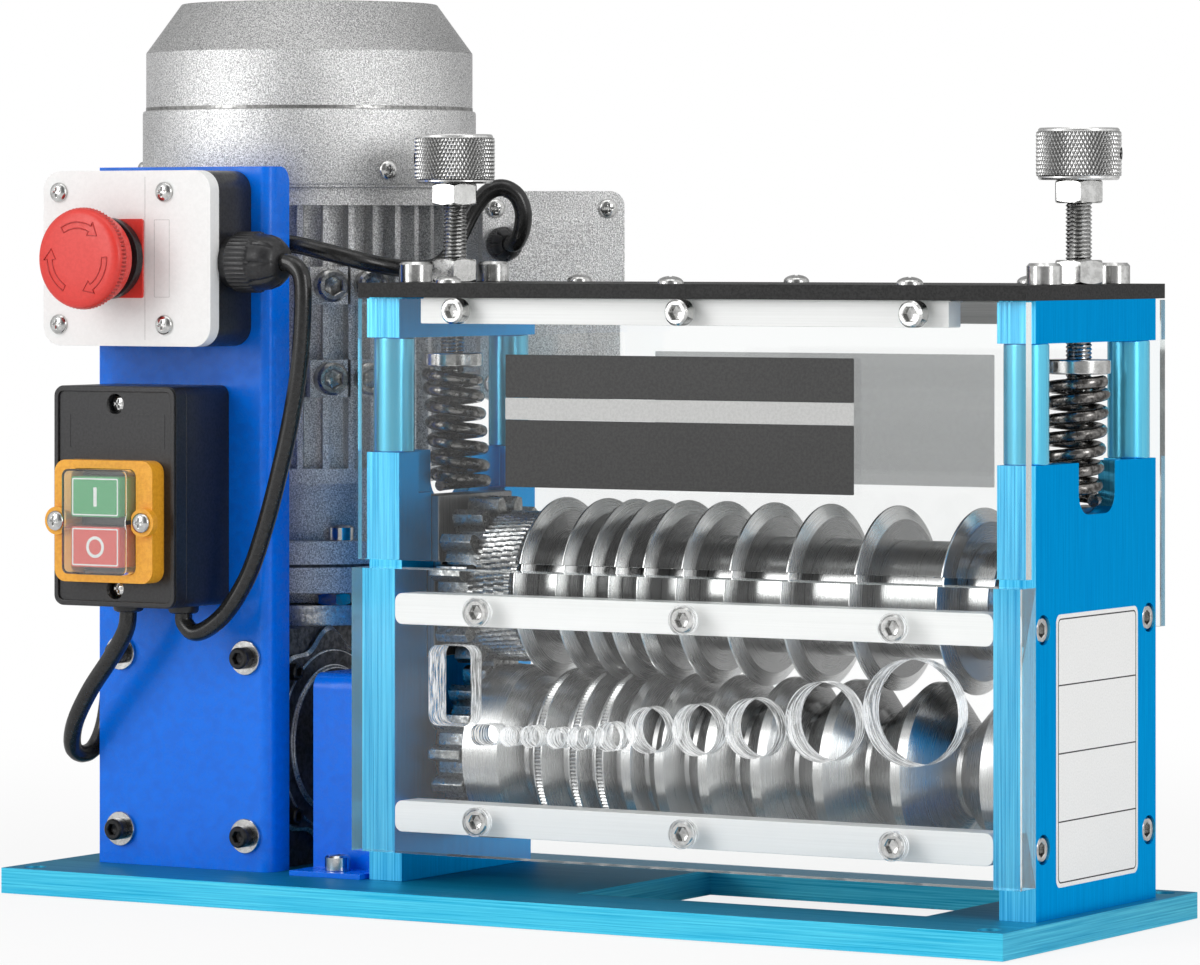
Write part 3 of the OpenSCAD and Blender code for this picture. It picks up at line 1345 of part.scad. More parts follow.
module blade_shaft() color("silver") {
    along_x(inner_left + block_proud + end_play, axis_y, blade_z)
        cylinder(r = shaft_r, h = roller_span - 2 * (block_proud + end_play));
    along_x(inner_left - pocket_depth + end_play, axis_y, blade_z)
        cylinder(r = journal_r, h = roller_span + 2 * (pocket_depth - end_play));
}

module blade() rotate_extrude() polygon([
    [shaft_r + press_fit, -blade_t / 2], [blade_r - blade_bevel, -blade_t / 2], [blade_r, -blade_rim_t / 2],
    [blade_r, blade_rim_t / 2], [blade_r - blade_bevel, blade_t / 2], [shaft_r + press_fit, blade_t / 2]
]);

module cutter_blades() color("lightgray") for (x = blade_at) along_x(inner_left + x, axis_y, blade_z) blade();

spacer_last = 12;
spacer_from = concat([knurl_end], [for (x = blade_at) x + blade_t / 2]);
spacer_to = concat([for (x = blade_at) x - blade_t / 2],
    [blade_at[len(blade_at) - 1] + blade_t / 2 + spacer_last]);

module blade_spacers() color("gray") for (i = [0 : len(spacer_from) - 1])
    along_x(inner_left + spacer_from[i], axis_y, blade_z)
        ring(spacer_r, shaft_r + press_fit, spacer_to[i] - spacer_from[i]);

module knurled_roller() color("gray") along_x(gear_x1, axis_y, blade_z)
    ring(knurl_r, shaft_r + press_fit, knurl_w);

module bearing_block(right) color("dimgray") at_end(right) difference() {
    translate([-block_proud, axis_y - block_w / 2, block_bottom])
        cube([block_proud + pocket_depth - slide_fit, block_w, block_top - block_bottom]);
    along_x(-block_proud - cut, axis_y, blade_z)
        cylinder(r = journal_r + run_fit, h = block_proud + pocket_depth + 2 * cut);
}
module bearing_block_left() bearing_block(false);
module bearing_block_right() bearing_block(true);

// Pressed pieces

module estop_head() color("red") translate([estop_x, mushroom_back, estop_z]) rotate([90, 0, 0]) {
    cylinder(d1 = mushroom_d - 2 * mushroom_edge, d2 = mushroom_d, h = mushroom_edge);
    translate([0, 0, mushroom_edge]) cylinder(d = mushroom_d, h = mushroom_t - 2 * mushroom_edge);
    translate([0, 0, mushroom_t - mushroom_edge])
        cylinder(d1 = mushroom_d, d2 = mushroom_d - 2 * mushroom_edge + cut, h = mushroom_edge);
    translate([0, 0, -stem_reach]) cylinder(d = mushroom_stem_d, h = stem_reach + cut);
}

module push_button(s) {
    front_rect(switch_x - button_w / 2, button_face_y + button_back, bezel_z + s * button_dz - button_h / 2,
        button_w, button_h, button_back, button_corner);
    translate([switch_x, stem_end_y, bezel_z + s * button_dz])
        rotate([90, 0, 0]) cylinder(d = stem_d, h = stem_end_y - button_face_y - button_back + cut);
}

module start_button() color("green") push_button(1);
module stop_button() color("red") push_button(-1);

base_plate();
end_plate_left();
end_plate_right();
top_blocks();
guide_posts();
top_cover();
front_guard_upper();
front_guard_lower();
rear_guard();
guard_bars();
frame_fasteners();
gearbox_housing();
gearbox_covers();
motor_flange();
motor_housing();
motor_stator();
fan_cover();
terminal_box();
terminal_box_lid();
control_panel();
coupling_guard();
panel_screws();
estop_box();
estop_lid();
estop_legend_plate();
estop_contact_block();
cable_glands();
switch_box();
switch_cover();
switch_bezel();
switch_membrane();
switch_mechanism();
control_screws();
control_cable();
motor_cable();
lower_bearings();
motor_rotor();
cooling_fan();
worm_shaft();
worm_wheel();
feed_roller();
feed_gear();
blade_shaft();
cutter_blades();
blade_spacers();
knurled_roller();
blade_gear();
bearing_block_left();
bearing_block_right();
spring_left();
spring_right();
estop_head();
start_button();
stop_button();
knob_left();
knob_right();
screw_left();
screw_right();
collar_left();
collar_right();
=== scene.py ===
"""Looks of an electric wire stripping machine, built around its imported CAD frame."""

import json
import math

import bmesh
import bpy
import numpy as np
from mathutils import Euler, Matrix, Vector


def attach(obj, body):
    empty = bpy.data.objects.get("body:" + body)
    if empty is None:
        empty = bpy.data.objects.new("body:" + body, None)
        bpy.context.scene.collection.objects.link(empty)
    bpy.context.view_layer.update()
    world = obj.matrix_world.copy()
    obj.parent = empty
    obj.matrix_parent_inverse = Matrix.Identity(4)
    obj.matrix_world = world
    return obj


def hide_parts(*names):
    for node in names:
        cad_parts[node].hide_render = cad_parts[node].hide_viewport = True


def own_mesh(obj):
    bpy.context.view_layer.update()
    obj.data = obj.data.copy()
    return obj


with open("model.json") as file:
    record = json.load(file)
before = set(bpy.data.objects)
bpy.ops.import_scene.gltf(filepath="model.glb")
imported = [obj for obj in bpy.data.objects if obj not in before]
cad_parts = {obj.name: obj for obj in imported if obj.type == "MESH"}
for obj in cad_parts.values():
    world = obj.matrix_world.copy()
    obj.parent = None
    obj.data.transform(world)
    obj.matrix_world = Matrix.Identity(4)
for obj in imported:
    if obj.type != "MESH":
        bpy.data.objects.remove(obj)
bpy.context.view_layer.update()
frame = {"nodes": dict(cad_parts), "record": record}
scene = bpy.context.scene
scene.view_settings.view_transform = "Standard"


# View and light
# A long lens stands level with the machine's top cover and looks at its right front corner.
# The room is white at both sides and dark round the camera, with soft boxes in front and above.
camera_data = bpy.data.cameras.new("camera")
camera_data.sensor_fit = "HORIZONTAL"
camera_data.sensor_width = 36
camera_data.lens = 181.27
camera_data.shift_y = -0.2015
camera = bpy.data.objects.new("camera", camera_data)
camera.location = (1.21006, -2.00761, 0.25784)
camera.rotation_euler = (math.radians(90), 0, math.radians(30.965))
scene.collection.objects.link(camera)
scene.camera = camera


def add(tree, kind, inputs=None, **settings):
    """One node, with its settings and with values or links on its inputs."""
    made = tree.nodes.new(kind)
    for key, value in settings.items():
        setattr(made, key, value)
    for key, value in (inputs or {}).items():
        if isinstance(value, bpy.types.NodeSocket):
            tree.links.new(value, made.inputs[key])
        else:
            made.inputs[key].default_value = value
    return made


def worked(tree, operation, first, second=0.0):
    """The result of one operation on two values."""
    return add(tree, "ShaderNodeMath", {0: first, 1: second}, operation=operation).outputs[0]


def vector(tree, operation, first, second=(0, 0, 0)):
    """The outputs of one operation on two vectors."""
    return add(tree, "ShaderNodeVectorMath", {0: first, 1: second}, operation=operation).outputs


def spread(tree, value, low, high, to_low=0.0, to_high=1.0, blend="LINEAR"):
    """A value moved from one range to another, and kept inside it."""
    ends = {"Value": value, "From Min": low, "From Max": high, "To Min": to_low, "To Max": to_high}
    return add(tree, "ShaderNodeMapRange", ends, interpolation_type=blend).outputs[0]


def shown_ray(tree):
    """One for rays that show the background itself, straight or through the guards."""
    path = add(tree, "ShaderNodeLightPath").outputs
    return worked(tree, "MAXIMUM", path["Is Camera Ray"], path["Is Transmission Ray"])


WHITE = (1, 1, 1, 1)
CAMERA_SIDE = (0.5145, -0.8575, 0)
room = bpy.data.worlds.new("room")
scene.world = room
room.use_nodes = True
sky = room.node_tree
sky.nodes.clear()
sky_way = add(sky, "ShaderNodeTexCoord").outputs["Generated"]
sky_level = vector(sky, "MULTIPLY", sky_way, (1, 1, 0))["Vector"]
sky_unit = vector(sky, "NORMALIZE", sky_level)["Vector"]
sky_front = vector(sky, "DOT_PRODUCT", sky_unit, CAMERA_SIDE)["Value"]
dark_front = spread(sky, sky_front, 0.82, 0.97, 1.0, 0.22, "SMOOTHSTEP")
dim_back = spread(sky, sky_front, -0.8, -0.1, 0.42, 0.92, "SMOOTHSTEP")
sky_glow = worked(sky, "MULTIPLY", dark_front, dim_back)
sky_light = add(sky, "ShaderNodeBackground", {"Color": WHITE, "Strength": sky_glow}).outputs[0]
sky_white = add(sky, "ShaderNodeBackground", {"Color": WHITE, "Strength": 1.0}).outputs[0]
sky_mix = add(sky, "ShaderNodeMixShader", {0: shown_ray(sky), 1: sky_light, 2: sky_white})
add(sky, "ShaderNodeOutputWorld", {"Surface": sky_mix.outputs[0]})

FLOOR_REACH, FLOOR_Z = 9, -0.0004
floor_corners = [(x * FLOOR_REACH, y * FLOOR_REACH, FLOOR_Z)
                 for x, y in ((-1, -1), (1, -1), (1, 1), (-1, 1))]
floor_mesh = bpy.data.meshes.new("floor")
floor_mesh.from_pydata(floor_corners, [], [(0, 1, 2, 3)])
floor = bpy.data.objects.new("floor", floor_mesh)
scene.collection.objects.link(floor)
floor_white = bpy.data.materials.new("floor_white")
floor_white.use_nodes = True
tree = floor_white.node_tree
tree.nodes.clear()
floor_paint = add(tree, "ShaderNodeBsdfDiffuse", {"Color": (0.85, 0.85, 0.85, 1)}).outputs[0]
floor_glow = add(tree, "ShaderNodeEmission", {"Strength": 1.0}).outputs[0]
floor_out = vector(tree, "LENGTH", add(tree, "ShaderNodeTexCoord").outputs["Object"])["Value"]
floor_far = spread(tree, floor_out, 0.3, 0.9, 0.85, 1.0, "SMOOTHSTEP")
floor_share = worked(tree, "MULTIPLY", floor_far, shown_ray(tree))
floor_mix = add(tree, "ShaderNodeMixShader", {0: floor_share, 1: floor_paint, 2: floor_glow})
add(tree, "ShaderNodeOutputMaterial", {"Surface": floor_mix.outputs[0]})
floor_mesh.materials.append(floor_white)


def soft_box(name, place, target, size, watts):
    data = bpy.data.lights.new(name, "AREA")
    data.shape = "RECTANGLE"
    data.size, data.size_y = size
    data.energy = watts
    lamp = bpy.data.objects.new(name, data)
    lamp.location = place
    lamp.rotation_euler = (Vector(target) - Vector(place)).to_track_quat("-Z", "Y").to_euler()
    scene.collection.objects.link(lamp)


soft_box("key_box", (-0.9, -1.6, 0.8), (0, 0, 0.15), (0.8, 1.2), 11)
soft_box("fill_box", (1.9, -0.5, 0.7), (0.1, 0, 0.15), (0.6, 1.0), 8)
soft_box("top_box", (0.2, -0.3, 1.6), (0, 0, 0.2), (1.2, 0.7), 3)


# Base plate
# A sawn aluminium plate, dyed blue, with a window under the rollers and four bench bolt holes.
# Its top is satin and painted darker as shade; the sawn edges, with lines along them, are painted brighter as
# highlight.
MM = 0.001
body_of = {n: b for b, nodes in frame["record"]["behaviour"]["bodies"].items() for n in nodes}


def group(name, more_inputs=()):
    """An empty shader group for a surface: its tree and its inputs."""
    made = bpy.data.node_groups.new(name, "ShaderNodeTree")
    inputs = [("Vector", "Vector", (0, 0, 0)), ("Dark", "Color", (0, 0, 0, 1)), ("Light", "Color", WHITE),
              ("Smooth", "Float", 0.3), ("Rough", "Float", 0.5), *more_inputs]
    for label, kind, value in inputs:
        socket = made.interface.new_socket(label, in_out="INPUT", socket_type="NodeSocket" + kind)
        socket.default_value = value
    for label, kind in (("Color", "Color"), ("Roughness", "Float"), ("Height", "Float")):
        made.interface.new_socket(label, in_out="OUTPUT", socket_type="NodeSocket" + kind)
    return made, made.nodes.new("NodeGroupInput").outputs


def noise(tree, way, scale, detail, rough=0.5):
    return add(tree, "ShaderNodeTexNoise", {"Vector": way, "Scale": scale, "Detail": detail,
                                            "Roughness": rough}).outputs[0]


def tint(tree, share, dark, light):
    return add(tree, "ShaderNodeMix", {"Factor": share, 6: dark, 7: light}, data_type="RGBA").outputs[2]


def put_out(tree, given, share, height):
    """The share leads from the dark colour to the light one, and from the rough surface to the smooth one."""
    add(tree, "NodeGroupOutput", {"Color": tint(tree, share, given["Dark"], given["Light"]),
                                  "Roughness": spread(tree, share, 0, 1, given["Rough"], given["Smooth"]),
                                  "Height": height})


# Fine parallel lines of sawn, brushed or rolled metal; the vector is stretched along the lines
streaks, given = group("streaks")
fine = noise(streaks, given["Vector"], 1.0, 4.0, 0.65)
put_out(streaks, given, spread(streaks, fine, 0.3, 0.7), fine)

# Grains of sprayed, cast or moulded surfaces, with faint clouds among them
grains, given = group("grains", [("Scale", "Float", 900.0)])
small = noise(grains, given["Vector"], given["Scale"], 3.0, 0.7)
clouds = spread(grains, noise(grains, given["Vector"], 22.0, 2.0), 0, 1, -0.06, 0.06)
put_out(grains, given, spread(grains, worked(grains, "ADD", small, clouds), 0.4, 0.6), small)

# Rings that a lathe tool leaves round an axis along X, with a few stains
turning, given = group("turning", [("Centre", "Vector", (0, 0, 0))])
away = vector(turning, "SUBTRACT", given["Vector"], given["Centre"])["Vector"]
along, across, up = add(turning, "ShaderNodeSeparateXYZ", {0: away}).outputs
flat = add(turning, "ShaderNodeCombineXYZ", {1: across, 2: up}).outputs[0]
radius = vector(turning, "LENGTH", flat)["Value"]
ring_way = add(turning, "ShaderNodeCombineXYZ", {0: along, 1: radius}).outputs[0]
cuts = noise(turning, ring_way, 2600.0, 3.0, 0.6)
stains = noise(turning, given["Vector"], 45.0, 3.0)
put_out(turning, given, spread(turning, worked(turning, "ADD", cuts, stains), 0.75, 1.25), cuts)


def paint(colour):
    """A colour with its alpha; a single number is a neutral grey."""
    return (colour, colour, colour, 1) if isinstance(colour, float) else (*colour, 1)


def finish(name, effect, dark, light, smooth, rough, metal=0.0, bump=0.1, depth=0.0002, stretch=None,
           scale=None, centre=None, sockets=None, painted_groove_shade=None):
    """A material whose colour, roughness and bump come from a shared group; grooves may get painted shade."""
    made = bpy.data.materials.new(name)
    made.use_nodes = True
    nodes = made.node_tree
    skin = nodes.nodes["Principled BSDF"].inputs
    for key, value in {"Metallic": metal, **(sockets or {})}.items():
        skin[key].default_value = value
    way = add(nodes, "ShaderNodeTexCoord").outputs["Object"]
    if stretch:
        way = add(nodes, "ShaderNodeMapping", {"Vector": way, "Scale": stretch}).outputs[0]
    values = {"Vector": way, "Dark": paint(dark), "Light": paint(light), "Smooth": smooth, "Rough": rough}
    if scale:
        values["Scale"] = scale
    if centre:
        values["Centre"] = centre
    look = add(nodes, "ShaderNodeGroup", values, node_tree=effect).outputs
    colour = look["Color"]
    if painted_groove_shade:
        deep = add(nodes, "ShaderNodeAttribute", attribute_name="groove").outputs["Fac"]
        colour = tint(nodes, deep, colour, paint(painted_groove_shade))
    nodes.links.new(colour, skin["Base Color"])
    nodes.links.new(look["Roughness"], skin["Roughness"])
    if bump:
        relief = add(nodes, "ShaderNodeBump", {"Strength": bump, "Distance": depth,
                                               "Height": look["Height"]})
        nodes.links.new(relief.outputs[0], skin["Normal"])
    return made


def piece(name, mesh, node, finishes, stands_for=True):
    """A finished mesh as its own object on a node's body; it hides that node's own shape unless told not to.
    """
    mesh.name = name
    made = bpy.data.objects.new(name, mesh)
    scene.collection.objects.link(made)
    for one in finishes:
        mesh.materials.append(one)
    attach(made, body_of[node])
    if stands_for:
        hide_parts(node)
    return made


def settled(made):
    """The object's modifiers turned into a plain mesh."""
    graph = bpy.context.evaluated_depsgraph_get()
    mesh = bpy.data.meshes.new_from_object(made.evaluated_get(graph), depsgraph=graph)
    made.modifiers.clear()
    return mesh


def joined_faces(node):
    """A node's mesh with its triangles merged into whole faces."""
    source = frame["nodes"][node].data
    mesh = bpy.data.meshes.new(node + "_faces")
    mesh.from_pydata([v.co[:] for v in source.vertices], [], [p.vertices[:] for p in source.polygons])
    bm = bmesh.new()
    bm.from_mesh(mesh)
    bmesh.ops.remove_doubles(bm, verts=bm.verts[:], dist=4e-6)
    bmesh.ops.dissolve_limit(bm, angle_limit=math.radians(0.8), verts=bm.verts[:], edges=bm.edges[:])
    bm.to_mesh(mesh)
    bm.free()
    return mesh


def broken_edges(mesh, width, segments=2, angle=35):
    """The mesh with its sharp edges rounded, and smooth shading that keeps flat faces flat."""
    for face in mesh.polygons:
        face.use_smooth = True
    holder = bpy.data.objects.new("holder", mesh)
    scene.collection.objects.link(holder)
    bevel = holder.modifiers.new("edge", "BEVEL")
    bevel.width = width * MM
    bevel.segments = segments
    bevel.limit_method = "ANGLE"
    bevel.angle_limit = math.radians(angle)
    bevel.harden_normals = True
    done = settled(holder)
    bpy.data.objects.remove(holder)
    return done


def edged(node, width, finishes, segments=2, angle=35, pick=None):
    """A node's own shape with broken edges; pick gives a face its finish from its normal and middle."""
    mesh = broken_edges(joined_faces(node), width, segments, angle)
    piece(node + "_part", mesh, node, finishes)
    if pick:
        for face in mesh.polygons:
            face.material_index = pick(face.normal, face.center / MM)


# The top is painted darker as shade and the sawn edges lighter as highlight, picked by each face's normal
dyed_top_and_shade = finish("dyed_top_and_shade", streaks, (0.0, 0.17, 0.33), (0.004, 0.31, 0.50), 0.46, 0.6, metal=0.6,
                  bump=0.05, stretch=(12, 1400, 1400), sockets={"Specular IOR Level": 0.2})
sawn_edge_and_highlight = finish("sawn_edge_and_highlight", streaks, (0.005, 0.38, 0.64), (0.13, 0.76, 0.97), 0.3, 0.5, metal=0.9,
                   bump=0.12, stretch=(14, 14, 1500))
edged("base_plate", 0.5, [dyed_top_and_shade, sawn_edge_and_highlight], pick=lambda n, c: 0 if abs(n.z) > 0.7 else 1)


# End plates, top blocks and guide posts
# Two milled plates carry both rollers; posts and blocks on them carry the cover and the adjusters.
# All are dyed aluminium: satin faces, sawn edges with upright lines and a lighter cyan painted on as
# highlight, and bright drawn posts.
dyed_face = finish("dyed_face", streaks, (0.0, 0.33, 0.80), (0.0, 0.42, 0.93), 0.38, 0.48, metal=1.0,
                   bump=0.03, stretch=(1500, 1500, 30), sockets={"Specular Tint": (0.5, 0.95, 1.0, 1)})
# The sawn edges' light streaks are partly painted highlight
dyed_edge_and_highlight = finish("dyed_edge_and_highlight", streaks, (0.004, 0.28, 0.58), (0.14, 0.66, 0.93), 0.3, 0.5, metal=0.95,
                   bump=0.12, stretch=(1200, 1200, 12))
dyed_post = finish("dyed_post", streaks, (0.08, 0.57, 0.88), (0.20, 0.75, 0.97), 0.16, 0.24, metal=0.7,
                   bump=0.02, stretch=(1500, 1500, 12))
for node in ("end_plate_left", "end_plate_right", "top_blocks"):
    edged(node, 0.5, [dyed_face, dyed_edge_and_highlight], pick=lambda n, c: 1 if abs(n.y) > 0.7 else 0)
edged("guide_posts", 0.6, [dyed_post])


# Tie bars, top rails and top cover
# Square drawn bars tie the end plates together and hold the clear guards.
# The cover is a black sprayed steel sheet screwed to the top blocks and the rails.
# The front bars' near-white is a lit copy of the bars' aluminium, painted as light
front_bar_lit = finish("front_bar_lit", streaks, (0.93, 0.93, 0.92), (1.0, 1.0, 0.99), 0.35, 0.5, metal=0.1,
                  bump=0.04, stretch=(10, 1500, 1500))


def rounded(w, h, r, steps=6):
    """Corner points of a rounded rectangle about zero, counter-clockwise."""
    made = []
    for x, y, start in ((1, 1, 0), (-1, 1, 90), (-1, -1, 180), (1, -1, 270)):
        for k in range(steps + 1):
            a = math.radians(start + 90 * k / steps)
            made.append((x * (w / 2 - r) + r * math.cos(a), y * (h / 2 - r) + r * math.sin(a)))
    return made


def slab(outer, depth, inner=None):
    """A flat piece of one outline, or a frame between two outlines with as many points."""
    n = len(outer)
    outlines = [outer, inner] if inner else [outer]
    verts = [(x, y, z) for line in outlines for z in (0, depth) for x, y in line]
    faces = []
    for k in range(n):
        j = (k + 1) % n
        faces.append((k, j, n + j, n + k))
        if inner:
            faces.append((2 * n + j, 2 * n + k, 3 * n + k, 3 * n + j))
            faces.append((n + k, n + j, 3 * n + j, 3 * n + k))
            faces.append((j, k, 2 * n + k, 2 * n + j))
    if not inner:
        faces.append(tuple(range(n, 2 * n)))
        faces.append(tuple(reversed(range(n))))
    return verts, faces


def solid(made, place=Matrix.Identity(4), smooth=30, groove=None):
    """A mesh in metres from vertices in millimetres, shaded smooth up to an angle.

    A groove function gives each vertex its share of painted groove shade, from its radius and height.
    """
    verts, faces = made
    mesh = bpy.data.meshes.new("solid")
    mesh.from_pydata([(place @ Vector(v)) * MM for v in verts], [], faces)
    if groove:
        deep = mesh.attributes.new("groove", "FLOAT", "POINT")
        deep.data.foreach_set("value", [groove(math.hypot(v[0], v[1]), v[2]) for v in verts])
    mesh.validate()
    for face in mesh.polygons:
        face.use_smooth = True
    mesh.set_sharp_from_angle(angle=math.radians(smooth))
    return mesh


UP, DOWN, FRONT, REAR = (0, 0, 0), (180, 0, 0), (90, 0, 0), (-90, 0, 0)
LEFT, RIGHT = (0, -90, 0), (0, 90, 0)


def at(x, y, z, turn=UP):
    """A place in millimetres with its turn in degrees, named for the side that a model's top then faces."""
    return Matrix.Translation((x, y, z)) @ Euler([math.radians(t) for t in turn]).to_matrix().to_4x4()


def joined(made):
    """Several sets of vertices and faces as one."""
    verts, faces = [], []
    for more_verts, more_faces in made:
        faces += [tuple(i + len(verts) for i in f) for f in more_faces]
        verts += more_verts
    return verts, faces


def moved(made, place):
    return [tuple(place @ Vector(v)) for v in made[0]], made[1]


INNER_LEFT, SPAN, BAR, BAR_END = -57.5, 259.0, 12.0, 3.2
TIE_YZ = [(y, z) for y in (-38, 50) for z in (36, 116)]
RAIL_FROM, RAIL_TO, RAIL_T, RAIL_H, RAIL_Z = -45.5, 183.5, 9.5, 10.0, 231.0
RAILS_Y = (-42.75, 54.75)
bar_model = slab(rounded(SPAN, BAR, BAR_END), BAR)
rail_model = slab(rounded(RAIL_TO - RAIL_FROM, RAIL_H, 0.3, 1), RAIL_T)
bars = [moved(bar_model, at(INNER_LEFT + SPAN / 2, y + BAR / 2, z, FRONT)) for y, z in TIE_YZ]
bars += [moved(rail_model, at((RAIL_FROM + RAIL_TO) / 2, y + RAIL_T / 2, RAIL_Z, FRONT)) for y in RAILS_Y]
# The rear bars and rail take a darker, fully metal copy of the same aluminium as painted shade
rear_bar_painted_shade = finish("rear_bar_painted_shade", streaks, (0.50, 0.50, 0.495), (0.70, 0.70, 0.69), 0.3, 0.45, metal=1.0,
                    bump=0.04, stretch=(10, 1500, 1500))
bars_mesh = broken_edges(solid(joined(bars)), 0.4)
piece("guard_bars_part", bars_mesh, "guard_bars", [front_bar_lit, rear_bar_painted_shade])
for face in bars_mesh.polygons:
    face.material_index = 1 if face.center.y > 0 else 0
cover_black = finish("cover_black", grains, 0.006, 0.016, 0.42, 0.55, bump=0.08, scale=1100,
                     sockets={"Specular IOR Level": 0.3})
edged("top_cover", 0.4, [cover_black])


# Feed roller, gears and bearings
# The lower roller is one steel bar with a groove under every blade and fine teeth on the narrow lands.
# Two cut gears tie it to the blade roller.
def turned(profile, steps=48, loop=False):
    """Vertices and faces of a piece turned about Z; a radius may follow the angle."""
    verts, rings, faces = [], [], []
    for reach, height in profile:
        if not callable(reach) and reach == 0:
            rings.append([len(verts)])
            verts.append((0.0, 0.0, height))
            continue
        rings.append(list(range(len(verts), len(verts) + steps)))
        for k in range(steps):
            a = 2 * math.pi * k / steps
            r = reach(a) if callable(reach) else reach
            z = height(a) if callable(height) else height
            verts.append((r * math.cos(a), r * math.sin(a), z))
    for low, high in zip(rings, rings[1:] + (rings[:1] if loop else [])):
        for k in range(steps):
            j = (k + 1) % steps
            if len(low) == 1 and len(high) == 1:
                continue
            if len(low) == 1:
                faces.append((low[0], high[j], high[k]))
            elif len(high) == 1:
                faces.append((low[k], low[j], high[0]))
            else:
                faces.append((low[k], low[j], high[j], high[k]))
    return verts, faces


def saw(x):
    """A triangle wave from 0 to 1 and back, once a turn."""
    return 1 - abs(2 * (x % 1.0) - 1)


AXIS_Y, FEED_Z, BLADE_Z = 6.0, 59.0, 123.0
BLADE_AT = [44.5, 63.5, 76, 87, 99.5, 116.5, 137.5, 162, 191, 227.5]
LAND_R, LAND_W, LANDS_FROM, LANDS_TO = 33.0, 4.0, 36.5, 245
TEETH, TOOTH_DEPTH, TOOTHED_LANDS = 140, 0.6, 3


def toothed(r, depth, teeth, shift=0.0):
    """A radius that falls to a depth between teeth all round."""
    return lambda a: r - depth * (1 - saw(teeth * a / (2 * math.pi) + shift))


def feed_depth(r, h):
    """The roots of the teeth and the grooves get painted shade; the worn lands keep the bare steel."""
    deep = LAND_R - r
    if not LANDS_FROM < h < LANDS_TO or deep < 0.05:
        return 0.0
    return 0.95 if deep < TOOTH_DEPTH + 0.05 else 0.7


def roller_steel(name, centre_z, dark, light, painted_groove_shade=None):
    return finish(name, turning, dark, light, 0.2, 0.34, metal=1.0, bump=0.04,
                  centre=(0, AXIS_Y * MM, centre_z * MM), painted_groove_shade=painted_groove_shade)


feed_steel = roller_steel("feed_steel", FEED_Z, 0.46, (0.64, 0.64, 0.635), painted_groove_shade=0.27)
land_edges = [LANDS_FROM] + [(a + b) / 2 for a, b in zip(BLADE_AT, BLADE_AT[1:])]
land_edges.append(BLADE_AT[-1] + 17 + LAND_W / 2)
rows = [(0, -139.9), (8.4, -139.9), (9, -139.3), (9, -15.5), (10, -15.5), (10, 0.5), (12, 0.5), (12, 19.5),
        (32.9, 19.5), (33.5, 20.1), (33.5, 36.0), (LAND_R, LANDS_FROM)]
for i, middle in enumerate(BLADE_AT):
    start = land_edges[i] + (0 if i == 0 else LAND_W / 2)
    end = land_edges[i + 1] - LAND_W / 2
    depth = min(18, max(5.5, min(middle - start, end - middle)))
    rows += [(LAND_R, start), (LAND_R - depth, middle - 1), (LAND_R - depth, middle + 1)]
    if i < TOOTHED_LANDS:
        rim = toothed(LAND_R, TOOTH_DEPTH, TEETH)
        rows += [(LAND_R, end), (LAND_R, end + 0.6), (rim, end + 0.7), (rim, end + LAND_W - 0.7),
                 (LAND_R, end + LAND_W - 0.6)]
    else:
        rows += [(LAND_R, end)]
rows += [(32.6, land_edges[-1] + 6.9), (32.2, land_edges[-1] + 7), (12, land_edges[-1] + 7), (12, 258.5),
         (10, 258.5), (10, 270.5), (0, 270.5)]
along_x = at(INNER_LEFT, AXIS_Y, FEED_Z, RIGHT)
feed = solid(turned(rows, 2 * TEETH), along_x, groove=feed_depth)
piece("feed_roller_part", feed, "feed_roller", [feed_steel])

gear_steel = finish("gear_steel", grains, (0.20, 0.20, 0.195), (0.42, 0.42, 0.41), 0.25, 0.45, metal=1.0,
                    bump=0.15, scale=500)
for node in ("feed_gear", "blade_gear"):
    edged(node, 0.6, [gear_steel], angle=28)
edged("lower_bearings", 0.5, [gear_steel])


# Blade roller
# Ten round blades with long bevels, spacers and a knurled roller sit on one ground shaft.
# The blades are hardened steel with bright bevels; the knurl has slightly slanted teeth.
def places_tree():
    """Sets a model on every point of a mesh, turned by the point's own angles."""
    made = bpy.data.node_groups.new("set_on_places", "GeometryNodeTree")
    for label, kind in (("Places", "Geometry"), ("Model", "Object"), ("Finish", "Material")):
        made.interface.new_socket(label, in_out="INPUT", socket_type="NodeSocket" + kind)
    made.interface.new_socket("Pieces", in_out="OUTPUT", socket_type="NodeSocketGeometry")
    given = made.nodes.new("NodeGroupInput").outputs
    model = add(made, "GeometryNodeObjectInfo", {"Object": given["Model"]}).outputs["Geometry"]
    turn = add(made, "GeometryNodeInputNamedAttribute", {"Name": "turn"}, data_type="FLOAT_VECTOR")
    spin = add(made, "FunctionNodeEulerToRotation", {0: turn.outputs["Attribute"]}).outputs[0]
    put = add(made, "GeometryNodeInstanceOnPoints", {"Points": given["Places"], "Instance": model,
                                                     "Rotation": spin}).outputs[0]
    real = add(made, "GeometryNodeRealizeInstances", {"Geometry": put}).outputs[0]
    coated = add(made, "GeometryNodeSetMaterial", {"Geometry": real, "Material": given["Finish"]})
    add(made, "NodeGroupOutput", {"Pieces": coated.outputs[0]})
    return made


set_on_places = places_tree()


